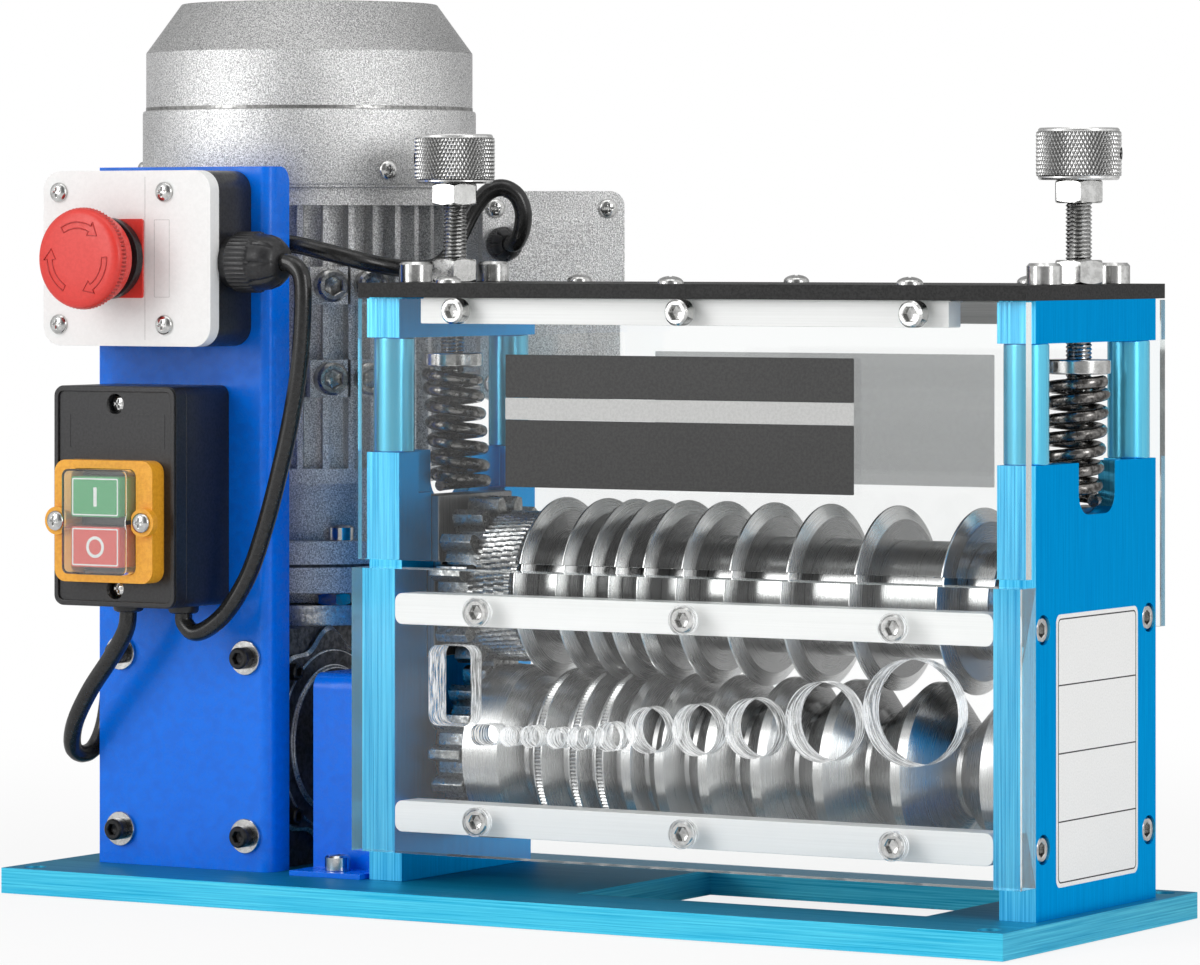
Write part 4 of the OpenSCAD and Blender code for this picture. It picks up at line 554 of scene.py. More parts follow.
def repeated(name, model_mesh, places, node, coat, stands_for=True):
    """One piece made of a model at each place, a point in millimetres with three angles in degrees."""
    points = bpy.data.meshes.new(name + "_places")
    points.from_pydata([[c * MM for c in p] for p, _ in places], [], [])
    turns = points.attributes.new("turn", "FLOAT_VECTOR", "POINT")
    turns.data.foreach_set("vector", [math.radians(a) for _, turn in places for a in turn])
    model = bpy.data.objects.new(name + "_model", model_mesh)
    holder = bpy.data.objects.new(name + "_holder", points)
    for one in (model, holder):
        scene.collection.objects.link(one)
    nodes = holder.modifiers.new("places", "NODES")
    nodes.node_group = set_on_places
    wanted = {"Model": model, "Finish": coat}
    for item in set_on_places.interface.items_tree:
        if item.in_out == "INPUT" and item.name in wanted:
            nodes[item.identifier] = wanted[item.name]
    mesh = settled(holder)
    for one in (model, holder):
        bpy.data.objects.remove(one)
    piece(name, mesh, node, [], stands_for)


# The blades' flat sides below the bevels, down in the gaps between blades, get painted shade
blade_steel = roller_steel("blade_steel", BLADE_Z, 0.66, (0.84, 0.84, 0.835), painted_groove_shade=0.34)
blade_rows = [(12, -3), (29.7, -3), (30.1, -2.85), (34.8, -0.45), (35, -0.2), (35, 0.2), (34.8, 0.45),
              (30.1, 2.85), (29.7, 3), (12, 3)]
blade_model = solid(turned(blade_rows, 96, loop=True), smooth=20, groove=lambda r, h: float(r < 30))
repeated("cutter_blades_part", blade_model, [((INNER_LEFT + x, AXIS_Y, BLADE_Z), RIGHT) for x in BLADE_AT],
         "cutter_blades", blade_steel)
edged("blade_spacers", 0.4, [roller_steel("spacer_steel", BLADE_Z, 0.40, (0.62, 0.62, 0.615))])
edged("blade_shaft", 0.5, [blade_steel])

KNURL_X, KNURL_R, KNURL_W, KNURL_TEETH, KNURL_SLANT, KNURL_CUT = -38.0, 29.4, 19.5, 76, 0.05, 0.8


# The knurl's grooves get painted shade, nearly black
def knurl_depth(r, h):
    return 0.9 * (KNURL_R - r) / KNURL_CUT if 0.5 <= h <= KNURL_W - 0.5 else 0.0


knurl_rows = [(12, 0), (KNURL_R - 1.2, 0)]
for x in np.linspace(0.5, KNURL_W - 0.5, 9):
    knurl_rows.append((toothed(KNURL_R, KNURL_CUT, KNURL_TEETH, KNURL_SLANT * x), x))
knurl_rows += [(KNURL_R - 1.2, KNURL_W), (12, KNURL_W)]
knurl_steel = finish("knurl_steel", grains, (0.42, 0.42, 0.415), (0.78, 0.78, 0.77), 0.22, 0.4, metal=1.0,
                     bump=0.12, scale=700, painted_groove_shade=0.012)
knurl = solid(turned(knurl_rows, 4 * KNURL_TEETH, loop=True), at(KNURL_X, AXIS_Y, BLADE_Z, RIGHT),
              smooth=25, groove=knurl_depth)
piece("knurled_roller_part", knurl, "knurled_roller", [knurl_steel])


# Bearing blocks and springs
# Steel blocks slide in the plates' pockets; each has a spring that its adjuster presses down.
# The springs are dark oil-hardened wire with closed ends.
block_steel = finish("block_steel", streaks, 0.16, 0.30, 0.3, 0.45, metal=1.0, bump=0.06,
                     stretch=(1200, 1200, 20))
for node in ("bearing_block_left", "bearing_block_right"):
    edged(node, 0.5, [block_steel])


def swept(points, radius, sides=12):
    """A round tube along a row of points, closed at both ends."""
    p = [Vector(q) for q in points]
    ways = [(p[min(i + 1, len(p) - 1)] - p[max(i - 1, 0)]).normalized() for i in range(len(p))]
    across = ways[0].cross(Vector((0, 0, 1)) if abs(ways[0].z) < 0.8 else Vector((1, 0, 0))).normalized()
    verts, faces = [], []
    for i, way in enumerate(ways):
        across = (across - across.dot(way) * way).normalized()
        other = way.cross(across)
        for k in range(sides):
            a = 2 * math.pi * k / sides
            verts.append(p[i] + radius * (math.cos(a) * across + math.sin(a) * other))
    for i in range(len(p) - 1):
        for k in range(sides):
            j = (k + 1) % sides
            faces.append((i * sides + k, i * sides + j, (i + 1) * sides + j, (i + 1) * sides + k))
    faces.append(tuple(reversed(range(sides))))
    faces.append(tuple(range((len(p) - 1) * sides, len(p) * sides)))
    return verts, faces


PLATES_X = (-65.0, 209.0)
SPRING_LOW, SPRING_HIGH, SPRING_WIRE, SPRING_TURNS, SPRING_STEPS = 161.3, 205.8, 4.6, 7, 40
SPRING_END, SPRING_R, SPRING_LEAN, LIFT = 5.2, 9.9, 4.0, 6.0
spring_pitch = (SPRING_HIGH - SPRING_LOW - 2 * SPRING_END) / (SPRING_TURNS - 2)
spring_steel = finish("spring_steel", grains, (0.06, 0.057, 0.054), (0.26, 0.25, 0.24), 0.16, 0.32,
                      metal=1.0, bump=0.08, scale=420)
for node, plate_x, side in zip(("spring_left", "spring_right"), PLATES_X, (-1, 1)):
    path = []
    for i in range(SPRING_TURNS * SPRING_STEPS + 1):
        u = i / SPRING_STEPS
        rise = (SPRING_END * min(u, 1) + spring_pitch * max(0, min(u, SPRING_TURNS - 1) - 1)
                + SPRING_END * max(0, u - SPRING_TURNS + 1))
        lean = SPRING_LEAN * (1 - rise / (SPRING_HIGH - SPRING_LOW))
        path.append((plate_x + side * (SPRING_R * math.cos(2 * math.pi * u) - lean),
                     AXIS_Y + SPRING_R * math.sin(2 * math.pi * u), SPRING_LOW + rise))
    coil = piece(node + "_part", solid(swept(path, SPRING_WIRE / 2, 14), smooth=50), node, [spring_steel])
    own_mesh(coil)


# Pressure adjusters
# A knurled knob and a lock nut turn a threaded rod in a fixed nut; its collar presses the spring.
# All are nickel-plated steel, with a diamond knurl rolled on the knob.
def hexagon(flats):
    """The radius of a hexagon along each angle."""
    return lambda a: flats / 2 / math.cos((a % (math.pi / 3)) - math.pi / 6)


def nut(flats, height, bore):
    """A hexagon nut with its corners chamfered at both ends."""
    outline, crown = hexagon(flats), 0.475 * flats

    def corner(a):
        return max(0.0, outline(a) - crown) * math.tan(math.radians(30))

    rows = [(bore, 0), (crown, 0), (outline, corner), (outline, lambda a: height - corner(a)),
            (crown, height), (bore, height)]
    return turned(rows, 72, loop=True)


def threaded(r, pitch, low, high, depth):
    """Rows of a rod with a thread that climbs round it."""
    count = int((high - low) / pitch * 4)
    rows = []
    for i in range(count + 1):
        z = low + (high - low) * i / count
        rows.append((lambda a, z=z: r - depth * saw(z / pitch - a / (2 * math.pi)), z))
    return rows


KNOB_R, KNOB_Z, KNOB_H, KNOB_TEETH, KNOB_LEAN = 16.0, 280.4, 19.3, 66, 2.0
KNURL_DEPTH, THREAD_DEPTH, THREAD_PITCH, THREAD_LOW, THREAD_HIGH, ROD_R = 0.6, 0.75, 1.5, 201.4, 290.0, 5.0
knob_pitch = 2 * math.pi * KNOB_R / KNOB_TEETH


def diamond(z):
    def reach(a):
        along, climb = KNOB_TEETH * a / (2 * math.pi), z / (KNOB_LEAN * knob_pitch)
        u, v = along + climb, along - climb
        return KNOB_R - KNURL_DEPTH * (1 - min(saw(u), saw(v)))
    return reach


def knob_depth(r, h):
    """The knurl's grooves get painted shade, nearly black; its tips keep the bright steel."""
    deep = 1.8 * (KNOB_R - r) / KNURL_DEPTH - 0.5
    return 0.97 * min(1.0, max(0.0, deep)) if KNOB_Z + 1.5 < h < KNOB_Z + KNOB_H - 1.5 else 0.0


# The thread's roots get painted shade, nearly black
def thread_depth(r, h):
    return 0.85 * min(1.0, (ROD_R - r) / THREAD_DEPTH) if THREAD_LOW <= h <= THREAD_HIGH else 0.0


def trim(name, mesh, node, coat):
    """A piece that goes beside a node's own shape and doesn't stand for it."""
    piece(name, mesh, node, [coat], stands_for=False)


nickel = finish("nickel", grains, (0.50, 0.50, 0.49), (0.72, 0.72, 0.71), 0.12, 0.24, metal=1.0, bump=0.03,
                scale=300)
knob_steel = finish("knob_steel", grains, (0.70, 0.70, 0.69), (0.92, 0.92, 0.91), 0.2, 0.34, metal=1.0,
                    bump=0.04, scale=600, painted_groove_shade=0.012)
rod_steel = finish("rod_steel", grains, (0.58, 0.58, 0.57), (0.84, 0.84, 0.83), 0.18, 0.32, metal=1.0,
                   bump=0.04, scale=500, painted_groove_shade=0.012)
pin_black = finish("pin_black", grains, 0.008, 0.02, 0.3, 0.45, metal=0.6, bump=0.05)
NUT_FLATS = 17
PIN_TURN = {"left": 214, "right": 20}
PIN_ROWS = [(0, 0), (2.3, 0), (2.3, 0.9), (1.9, 0.95), (1.7, 0.4), (0, 0.4)]
for hand, x in zip(("left", "right"), PLATES_X):
    middle = at(x, AXIS_Y, 0)
    knob_rows = [(0, KNOB_Z), (14.6, KNOB_Z), (15.1, KNOB_Z + 0.6), (15.1, KNOB_Z + 1.2)]
    knob_rows += [(diamond(z), z) for z in np.arange(KNOB_Z + 1.7, KNOB_Z + KNOB_H - 1.6, knob_pitch / 4)]
    knob_rows += [(15.1, KNOB_Z + KNOB_H - 1.2), (15.1, KNOB_Z + KNOB_H - 0.6), (14.5, KNOB_Z + KNOB_H),
                  (9.0, KNOB_Z + KNOB_H), (8.6, KNOB_Z + KNOB_H - 0.5), (0, KNOB_Z + KNOB_H - 0.5)]
    knob = solid(turned(knob_rows, 4 * KNOB_TEETH), middle, smooth=24, groove=knob_depth)
    piece(f"knob_{hand}_part", knob, f"knob_{hand}", [knob_steel])
    rod_rows = [(0, THREAD_LOW - 1), (3.8, THREAD_LOW - 1)]
    rod_rows += threaded(ROD_R, THREAD_PITCH, THREAD_LOW, THREAD_HIGH, THREAD_DEPTH)
    rod_rows += [(4, THREAD_HIGH + 1), (0, THREAD_HIGH + 1)]
    rod = solid(turned(rod_rows, 32), middle, smooth=28, groove=thread_depth)
    piece(f"screw_{hand}_part", rod, f"screw_{hand}", [rod_steel])
    lock_nut = solid(nut(NUT_FLATS, 8.6, 5.02), at(x, AXIS_Y, 271.8), smooth=28)
    piece(f"lock_nut_{hand}_part", lock_nut, f"screw_{hand}", [nickel])
    pin_way = at(x, AXIS_Y, KNOB_Z + 9.8, (0, 0, PIN_TURN[hand])) @ at(KNOB_R - 0.9, 0, 0, RIGHT)
    trim(f"knob_pin_{hand}", solid(turned(PIN_ROWS, 24), pin_way), f"knob_{hand}", pin_black)
    edged(f"collar_{hand}", 0.7, [nickel])


# Clear guards
# Cast acrylic sheets: a thick lower guard with wire holes, a thinner upper one, and one at the back.
# The faces are polished; the sawn edges scatter a pale green light.
def clear_plastic(name, dark, light, rough, clear, stretch=(60, 60, 60)):
    """A clear plastic that lets a share of the light through, and shadows and reflections wholly."""
    made = finish(name, streaks, dark, light, rough, rough + 0.04, bump=0.0, stretch=stretch,
                  sockets={"IOR": 1.49, "Transmission Weight": clear})
    nodes = made.node_tree
    skin = nodes.nodes["Principled BSDF"].outputs[0]
    bare = add(nodes, "ShaderNodeBsdfTransparent", {"Color": (*[0.97 * c for c in light], 1)}).outputs[0]
    ray = add(nodes, "ShaderNodeLightPath").outputs
    passed = worked(nodes, "MAXIMUM", ray["Is Shadow Ray"], ray["Is Reflection Ray"])
    mix = add(nodes, "ShaderNodeMixShader", {0: passed, 1: skin, 2: bare}).outputs[0]
    nodes.links.new(mix, nodes.nodes["Material Output"].inputs["Surface"])
    return made


guard_face = clear_plastic("guard_face", (0.985, 0.993, 0.99), (0.992, 0.998, 0.996), 0.0, 1.0)
guard_edge = clear_plastic("guard_edge", (0.78, 0.90, 0.89), (0.96, 1.0, 0.99), 0.08, 0.84,
                           stretch=(40, 900, 40))
# The broken rims of the holes are painted near white and almost opaque as highlights
guard_rim_highlight = finish("guard_rim_highlight", streaks, (0.86, 0.88, 0.88), 1.0, 0.05, 0.1, bump=0.0,
                   stretch=(90, 90, 90), sockets={"Alpha": 0.92})

# The walls of the holes: cutter rings painted near white as glints, clear bands between, and a faint painted
# glow over all
guard_bore = finish("guard_bore", streaks, (0.70, 0.72, 0.72), 1.0, 0.06, 0.14, bump=0.3, depth=0.0003,
                    stretch=(110, 900, 110), sockets={"Emission Color": WHITE, "Emission Strength": 0.3})
bore_tree = guard_bore.node_tree
bore_look = next(n for n in bore_tree.nodes if n.type == "GROUP")
painted_glint_rings = spread(bore_tree, bore_look.outputs["Height"], 0.42, 0.58, 0.1, 1.0)
bore_tree.links.new(painted_glint_rings, bore_tree.nodes["Principled BSDF"].inputs["Alpha"])
GUARD_LEFT, GUARD_RIGHT, GUARD_LOW, GUARD_HIGH = -72.3, 216.3, 22.8, 131.5


def guard_part(normal, middle):
    """The finish of a face: the clear sheet, its outer edge, a hole's wall, or that wall's broken rim,
    painted bright as a highlight.
    """
    if abs(normal.y) > 0.8:
        return 0
    if not (GUARD_LEFT < middle.x < GUARD_RIGHT and GUARD_LOW < middle.z < GUARD_HIGH):
        return 1
    return 3 if abs(normal.y) > 0.15 else 2


edged("front_guard_lower", 0.35, [guard_face, guard_edge, guard_bore, guard_rim_highlight], pick=guard_part)
for node in ("front_guard_upper", "rear_guard"):
    edged(node, 0.3, [guard_face, guard_edge], pick=lambda n, c: 0 if abs(n.y) > 0.8 else 1)


# Films and paper label
# Plain dark and grey films are stuck on the upper guards.
# A ruled paper label is stuck on the right end plate.
film_dark = finish("film_dark", grains, 0.012, (0.022, 0.022, 0.021), 0.35, 0.45, bump=0.03)
film_grey = finish("film_grey", grains, (0.50, 0.50, 0.49), (0.56, 0.56, 0.55), 0.4, 0.5, bump=0.03)
film_back = finish("film_back", grains, (0.62, 0.625, 0.62), (0.68, 0.685, 0.68), 0.4, 0.5, bump=0.03,
                   sockets={"Alpha": 0.5})
paper = finish("paper", grains, (0.82, 0.82, 0.81), (0.90, 0.90, 0.89), 0.45, 0.6, bump=0.05, scale=1500)
print_black = finish("print_black", grains, 0.012, 0.03, 0.45, 0.6, bump=0.05)
FILM_X, FILM_W, FILM_T = 70.2, 151.0, 0.12
FRONT_FACE, REAR_FACE, PLATE_FACE = -52.02, 64.02, 216.52
for name, z, h, coat, slot in (("film_top", 206.3, 16.4, film_dark, "box_black"),
                               ("film_band", 193.9, 8.2, film_grey, "lid_white"),
                               ("film_low", 176.9, 25.6, film_dark, "box_black")):
    film = slab(rounded(FILM_W, h, 0.4, 2), FILM_T)
    trim(name, solid(film, at(FILM_X, FRONT_FACE, z, FRONT)), "front_guard_upper", coat)
rear_film = solid(slab(rounded(FILM_W, 51.0, 0.4, 2), FILM_T), at(FILM_X, REAR_FACE, 188.5, (90, 0, 180)))
trim("film_rear", rear_film, "rear_guard", film_back)
LABEL_Y, LABEL_Z, LABEL_W, LABEL_H = 6.2, 71.0, 68.0, 100.0
on_plate = at(PLATE_FACE, LABEL_Y, LABEL_Z, (90, 0, 90))
label = solid(slab(rounded(LABEL_W, LABEL_H, 3), FILM_T), on_plate)
trim("plate_label", label, "end_plate_right", paper)
ruled = [slab(rounded(LABEL_W - 3, LABEL_H - 3, 2.2), 0.03, rounded(LABEL_W - 4, LABEL_H - 4, 1.7))]
ruled += [moved(slab(rounded(LABEL_W - 4, 0.5, 0.1, 1), 0.03), at(0, y, 0)) for y in (24, -1, -26)]
label_lines = solid(moved(joined(ruled), at(0, 0, FILM_T)), on_plate)
trim("plate_label_lines", label_lines, "end_plate_right", print_black)


# Gearbox and motor
# A cast worm gearbox carries a finned motor upright, with a sheet fan cover and a terminal box.
# The motor and its boxes are sprayed in speckled silver, the gearbox in near-black.
silver_spray = finish("silver_spray", grains, (0.32, 0.32, 0.324), (1.0, 1.0, 0.995), 0.32, 0.48,
                      metal=0.75, bump=0.5, depth=0.0004, scale=2000)
# A darker copy of the silver spray, painted on the fan cover's upward-sloping faces as shade
cone_painted_shade = finish("cone_painted_shade", grains, (0.22, 0.22, 0.224), (0.74, 0.74, 0.735), 0.34, 0.5, metal=0.75,
                    bump=0.5, depth=0.0004, scale=2000)
cast_black = finish("cast_black", grains, (0.020, 0.020, 0.021), (0.070, 0.072, 0.076), 0.3, 0.55,
                    metal=0.2, bump=0.3, depth=0.0003, scale=420)
# The casting's machined rims and band are bare metal; their bright grey is partly painted highlight
machined_rim_highlight = finish("machined_rim_highlight", grains, (0.40, 0.41, 0.41), (0.80, 0.81, 0.81), 0.25, 0.42, metal=0.7,
                   bump=0.1, scale=600)
edged("gearbox_housing", 1.2, [cast_black, machined_rim_highlight], segments=3,
      pick=lambda n, c: 1 if 106.2 < c.z < 113.8 and abs(n.z) < 0.9 else 0)


def slanted(normal):
    return 1 if 0.2 < abs(normal.x) < 0.97 else 0


edged("gearbox_covers", 0.8, [cast_black, machined_rim_highlight], pick=lambda n, c: slanted(n))
MOTOR_X, MOTOR_Y, GEARBOX_HALF = -160.4, 46.0, 35.0
COVER_R, LOBES, LOBE_R, LOBE_RISE, FACE_BACK, LOBE_SCREW_R = 36.0, 8, 42.0, 3.0, 39.5, 40.3


def lobed(inset):
    """The edge of the round face: a lobe at every eighth of a turn, cut off at the casting's back."""
    def reach(a):
        r = LOBE_R + LOBE_RISE * math.cos(LOBES * a)
        return (min(r, FACE_BACK / math.sin(a)) if math.sin(a) > 0.5 else r) - inset
    return reach


face_rows = [(COVER_R + 0.05, 0), (lobed(0), 0), (lobed(0), 1.0), (lobed(1.5), 2.0), (COVER_R + 0.05, 2.0)]
faces_at = [at(MOTOR_X + s * GEARBOX_HALF, AXIS_Y, FEED_Z, (0, s * 90, 0)) for s in (-1, 1)]
gear_face = turned(face_rows, 192, loop=True)
face_mesh = solid(joined([moved(gear_face, place) for place in faces_at]), smooth=25)
piece("gearbox_faces", face_mesh, "gearbox_covers", [cast_black, machined_rim_highlight], stands_for=False)
for face in face_mesh.polygons:
    face.material_index = slanted(face.normal)
edged("motor_flange", 1.0, [silver_spray])
edged("motor_housing", 0.5, [silver_spray])
edged("fan_cover", 1.2, [silver_spray, cone_painted_shade], segments=3, angle=25,
      pick=lambda n, c: 1 if 0.3 < n.z < 0.95 else 0)
SKIRT = [(66.52, 281.0), (67.7, 280.4), (67.9, 281.0), (67.9, 309.2), (67.6, 310.2), (66.52, 310.6)]
skirt = solid(turned(SKIRT, 128, loop=True), at(MOTOR_X, MOTOR_Y, 0), smooth=50)
trim("fan_cover_skirt", skirt, "fan_cover", silver_spray)
# The flange gap is a dark joint; the skirt gap is a painted shadow line at the skirt's step
for name, r, z, node, coat in (("flange_gap", 56.06, 127.4, "motor_flange", cast_black),
                               ("skirt_gap", 66.6, 310.6, "fan_cover", gear_steel)):
    gap = turned([(r - 0.16, z - 0.1), (r, z), (r, z + 1.2), (r - 0.16, z + 1.3)], 128, loop=True)
    trim(name, solid(gap, at(MOTOR_X, MOTOR_Y, 0)), node, coat)
edged("terminal_box", 1.5, [silver_spray], segments=3)
edged("terminal_box_lid", 1.2, [silver_spray], segments=3)
inner_steel = finish("inner_steel", turning, 0.22, (0.42, 0.42, 0.41), 0.25, 0.45, metal=1.0, bump=0.05,
                     centre=(0, AXIS_Y * MM, FEED_Z * MM))
copper = finish("winding_copper", grains, (0.25, 0.09, 0.04), (0.48, 0.19, 0.08), 0.35, 0.5, metal=0.7,
                bump=0.2)
bronze = finish("wheel_bronze", grains, (0.40, 0.24, 0.08), (0.58, 0.38, 0.15), 0.3, 0.45, metal=1.0,
                bump=0.1)
fan_black = finish("fan_black", grains, 0.012, 0.03, 0.4, 0.55, bump=0.1)
for node, coat in (("motor_stator", copper), ("motor_rotor", inner_steel), ("worm_shaft", inner_steel),
                   ("worm_wheel", bronze), ("cooling_fan", fan_black)):
    edged(node, 0.4, [coat])


# Control panel and coupling guard
# Bent steel sheet, stove-enamelled royal blue; the panel is bolted to the gearbox's front face.
# The guard is a bent hood over the coupling, screwed to the base.
enamel = finish("enamel", grains, (0.0, 0.165, 0.84), (0.0, 0.19, 0.93), 0.22, 0.34, bump=0.03, scale=260,
                sockets={"Specular IOR Level": 0.28, "Coat Weight": 0.1})
edged("control_panel", 0.4, [enamel])
edged("coupling_guard", 0.4, [enamel])


# Emergency stop
# A black moulded box with a white lid, a red legend plate, a black ring and a red mushroom head.
# The head is turned to let go, so three curved arrows stand out on its face.
black_moulding = finish("black_moulding", grains, (0.010, 0.010, 0.011), (0.022, 0.022, 0.024), 0.28, 0.42,
                        bump=0.08)
white_moulding = finish("white_moulding", grains, (0.865, 0.865, 0.855), (0.895, 0.895, 0.885), 0.3, 0.42,
                        bump=0.04, scale=700)
red_moulding = finish("red_moulding", grains, (0.71, 0.040, 0.030), (0.76, 0.047, 0.036), 0.3, 0.42,
                      bump=0.04, scale=600, painted_groove_shade=(0.30, 0.008, 0.006))
edged("estop_box", 1.2, [black_moulding], segments=3)
edged("estop_lid", 2.0, [white_moulding], segments=4)
edged("estop_legend_plate", 0.15, [red_moulding])
edged("estop_contact_block", 0.6, [black_moulding])
ESTOP_X, ESTOP_Z, HEAD_BACK = -175.0, 250.9, -82.3
HEAD_R, RIM_TEETH, RIM_DEPTH = 19.9, 76, 0.7


# The grooves between the rim's teeth get painted shade in dark red
def rim_depth(r, h):
    return 0.9 * min(1.0, (HEAD_R - r) / RIM_DEPTH) if 6.5 < h < 9.8 else 0.0


rim = toothed(HEAD_R, RIM_DEPTH, RIM_TEETH)
head_rows = [(0, -22), (6, -22), (6, 0), (16.6, 0), (17.3, 0.3), (17.7, 1.0), (18.1, 5.4), (18.2, 6.0),
             (toothed(19.0, RIM_DEPTH, RIM_TEETH), 6.1), (rim, 7.0), (rim, 9.6), (19.6, 10.2),
             (19.3, 11.2), (18.6, 12.0), (17.5, 12.55), (15.8, 12.85), (8, 13.0), (0, 13.0)]
facing = at(ESTOP_X, HEAD_BACK, ESTOP_Z, FRONT)
piece("estop_head_part", solid(turned(head_rows, 2 * RIM_TEETH), facing, smooth=40, groove=rim_depth),
      "estop_head", [red_moulding])
red_line = finish("red_line", grains, (0.40, 0.012, 0.010), (0.50, 0.02, 0.015), 0.35, 0.5, bump=0.05)


def on_ring(r, a):
    return (r * math.cos(math.radians(a)), r * math.sin(math.radians(a)), 12.98)


arrows = []
for start in (122, 2, -118):
    stop = start - 60
    outline = [on_ring(14.2, a) for a in np.linspace(start, stop, 14)]
    outline += [on_ring(15.9, stop), on_ring(12.9, stop - 19), on_ring(10.2, stop)]
    outline += [on_ring(11.8, a) for a in np.linspace(stop, start, 14)] + [on_ring(14.2, start)]
    arrows.append(swept(outline, 0.28, 6))
trim("estop_arrows", solid(joined(arrows), facing, smooth=50), "estop_head", red_line)
# The grey outline is painted shade along the edge of a label recess; the long fine line is the same grey
lid_line = finish("lid_line", grains, (0.52, 0.52, 0.51), (0.60, 0.60, 0.59), 0.4, 0.5, bump=0.05)
lid_marks = [moved(slab(rounded(0.25, 64, 0.1, 1), 0.06), at(-159.0, 0, 250.9, FRONT)),
             moved(slab(rounded(7.3, 30.4, 0.3, 2), 0.06, rounded(6.9, 30.0, 0.2, 2)),
                   at(-150.95, 0, 250.9, FRONT))]
trim("estop_lid_marks", solid(joined(lid_marks), at(0, -72.0, 0)), "estop_lid", lid_line)


# Switch
# A black moulded box and cover, and a yellow bezel that clamps a clear membrane over two push buttons.
# The green button carries a white bar and the red one a white ring.
yellow_moulding = finish("yellow_moulding", grains, (0.80, 0.34, 0.018), (0.90, 0.42, 0.03), 0.3, 0.42,
                         bump=0.04, scale=700)
green_button = finish("green_button", grains, (0.045, 0.33, 0.12), (0.065, 0.40, 0.15), 0.28, 0.4,
                      bump=0.03, scale=700)
red_button = finish("red_button", grains, (0.70, 0.075, 0.06), (0.80, 0.10, 0.085), 0.28, 0.4, bump=0.03,
                    scale=700)
edged("switch_box", 0.8, [black_moulding], segments=3)
edged("switch_cover", 1.0, [black_moulding], segments=3)
edged("switch_bezel", 0.8, [yellow_moulding], segments=3)
membrane = clear_plastic("membrane", (0.93, 0.96, 0.95), (0.98, 0.99, 0.985), 0.08, 0.95)
edged("switch_membrane", 0.25, [membrane])
edged("start_button", 0.4, [green_button])
edged("stop_button", 0.4, [red_button])
frame["nodes"]["switch_mechanism"].material_slots[0].material = black_moulding
SWITCH_X, SWITCH_W, SWITCH_Z, SWITCH_H = -167.6, 58.0, 157.85, 86.3
switch_rim = slab(rounded(SWITCH_W - 0.6, SWITCH_H - 0.6, 3.7), 1.0,
                  rounded(SWITCH_W - 4.4, SWITCH_H - 4.4, 2.4))
rim_mesh = broken_edges(solid(switch_rim, at(SWITCH_X, -79.95, SWITCH_Z, FRONT)), 0.3)
trim("switch_rim", rim_mesh, "switch_cover", black_moulding)
label_edge = slab(rounded(45.4, 13.7, 0.8, 3), 0.12, rounded(44.8, 13.1, 0.6, 3))
edge_mesh = solid(label_edge, at(-166.6, -80.0, 183.35, FRONT))
trim("switch_label_edge", edge_mesh, "switch_cover", black_moulding)
BUTTON_FACE, BUTTON_W, BUTTON_H, MARK_T = -93.0, 23.0, 15.7, 0.1
mark_white = finish("mark_white", grains, (0.80, 0.80, 0.79), (0.88, 0.88, 0.87), 0.35, 0.45, bump=0.03)
button_edge = slab(rounded(BUTTON_W - 1.2, BUTTON_H - 1.2, 0.6, 3), MARK_T,
                   rounded(BUTTON_W - 2.2, BUTTON_H - 2.2, 0.4, 3))
bar_mark = slab(rounded(1.5, 7.5, 0.2, 2), MARK_T)
ring_mark = slab(rounded(8.4, 8.4, 4.19, 10), MARK_T, rounded(6.0, 6.0, 2.99, 10))
for node, z, mark in (("start_button", 158.15, bar_mark), ("stop_button", 138.65, ring_mark)):
    marks = solid(joined([button_edge, mark]), at(SWITCH_X, BUTTON_FACE, z, FRONT), smooth=40)
    trim(node + "_marks", marks, node, mark_white)


# Cables and glands
# Two round black leads, from the emergency stop to the switch and from the switch to the terminal box.
# Each goes through a moulded gland or a rubber grommet, so both ends are in the machine.
GLAND_RIBS, RIB_DEPTH = 40, 0.5


def fingers(r):
    return lambda a: r - 0.9 * max(0.0, math.cos(8 * a)) ** 6


def gland_rows(r, length, bore):
    """A gland: its seat, its ribbed nut and a dome with slots between the clamp fingers."""
    u, ribs = length / 24, toothed(r, RIB_DEPTH, GLAND_RIBS)
    return [(bore, 0), (0.84 * r, 0), (0.84 * r, 3.2 * u), (0.96 * r, 3.6 * u), (ribs, 4.2 * u),
            (ribs, 13.0 * u), (0.95 * r, 13.6 * u), (fingers(0.92 * r), 14.4 * u),
            (fingers(0.9 * r), 17.5 * u), (fingers(0.82 * r), 20.5 * u), (0.66 * r, 23 * u),
            (0.5 * r, 24 * u), (bore, 24 * u)]


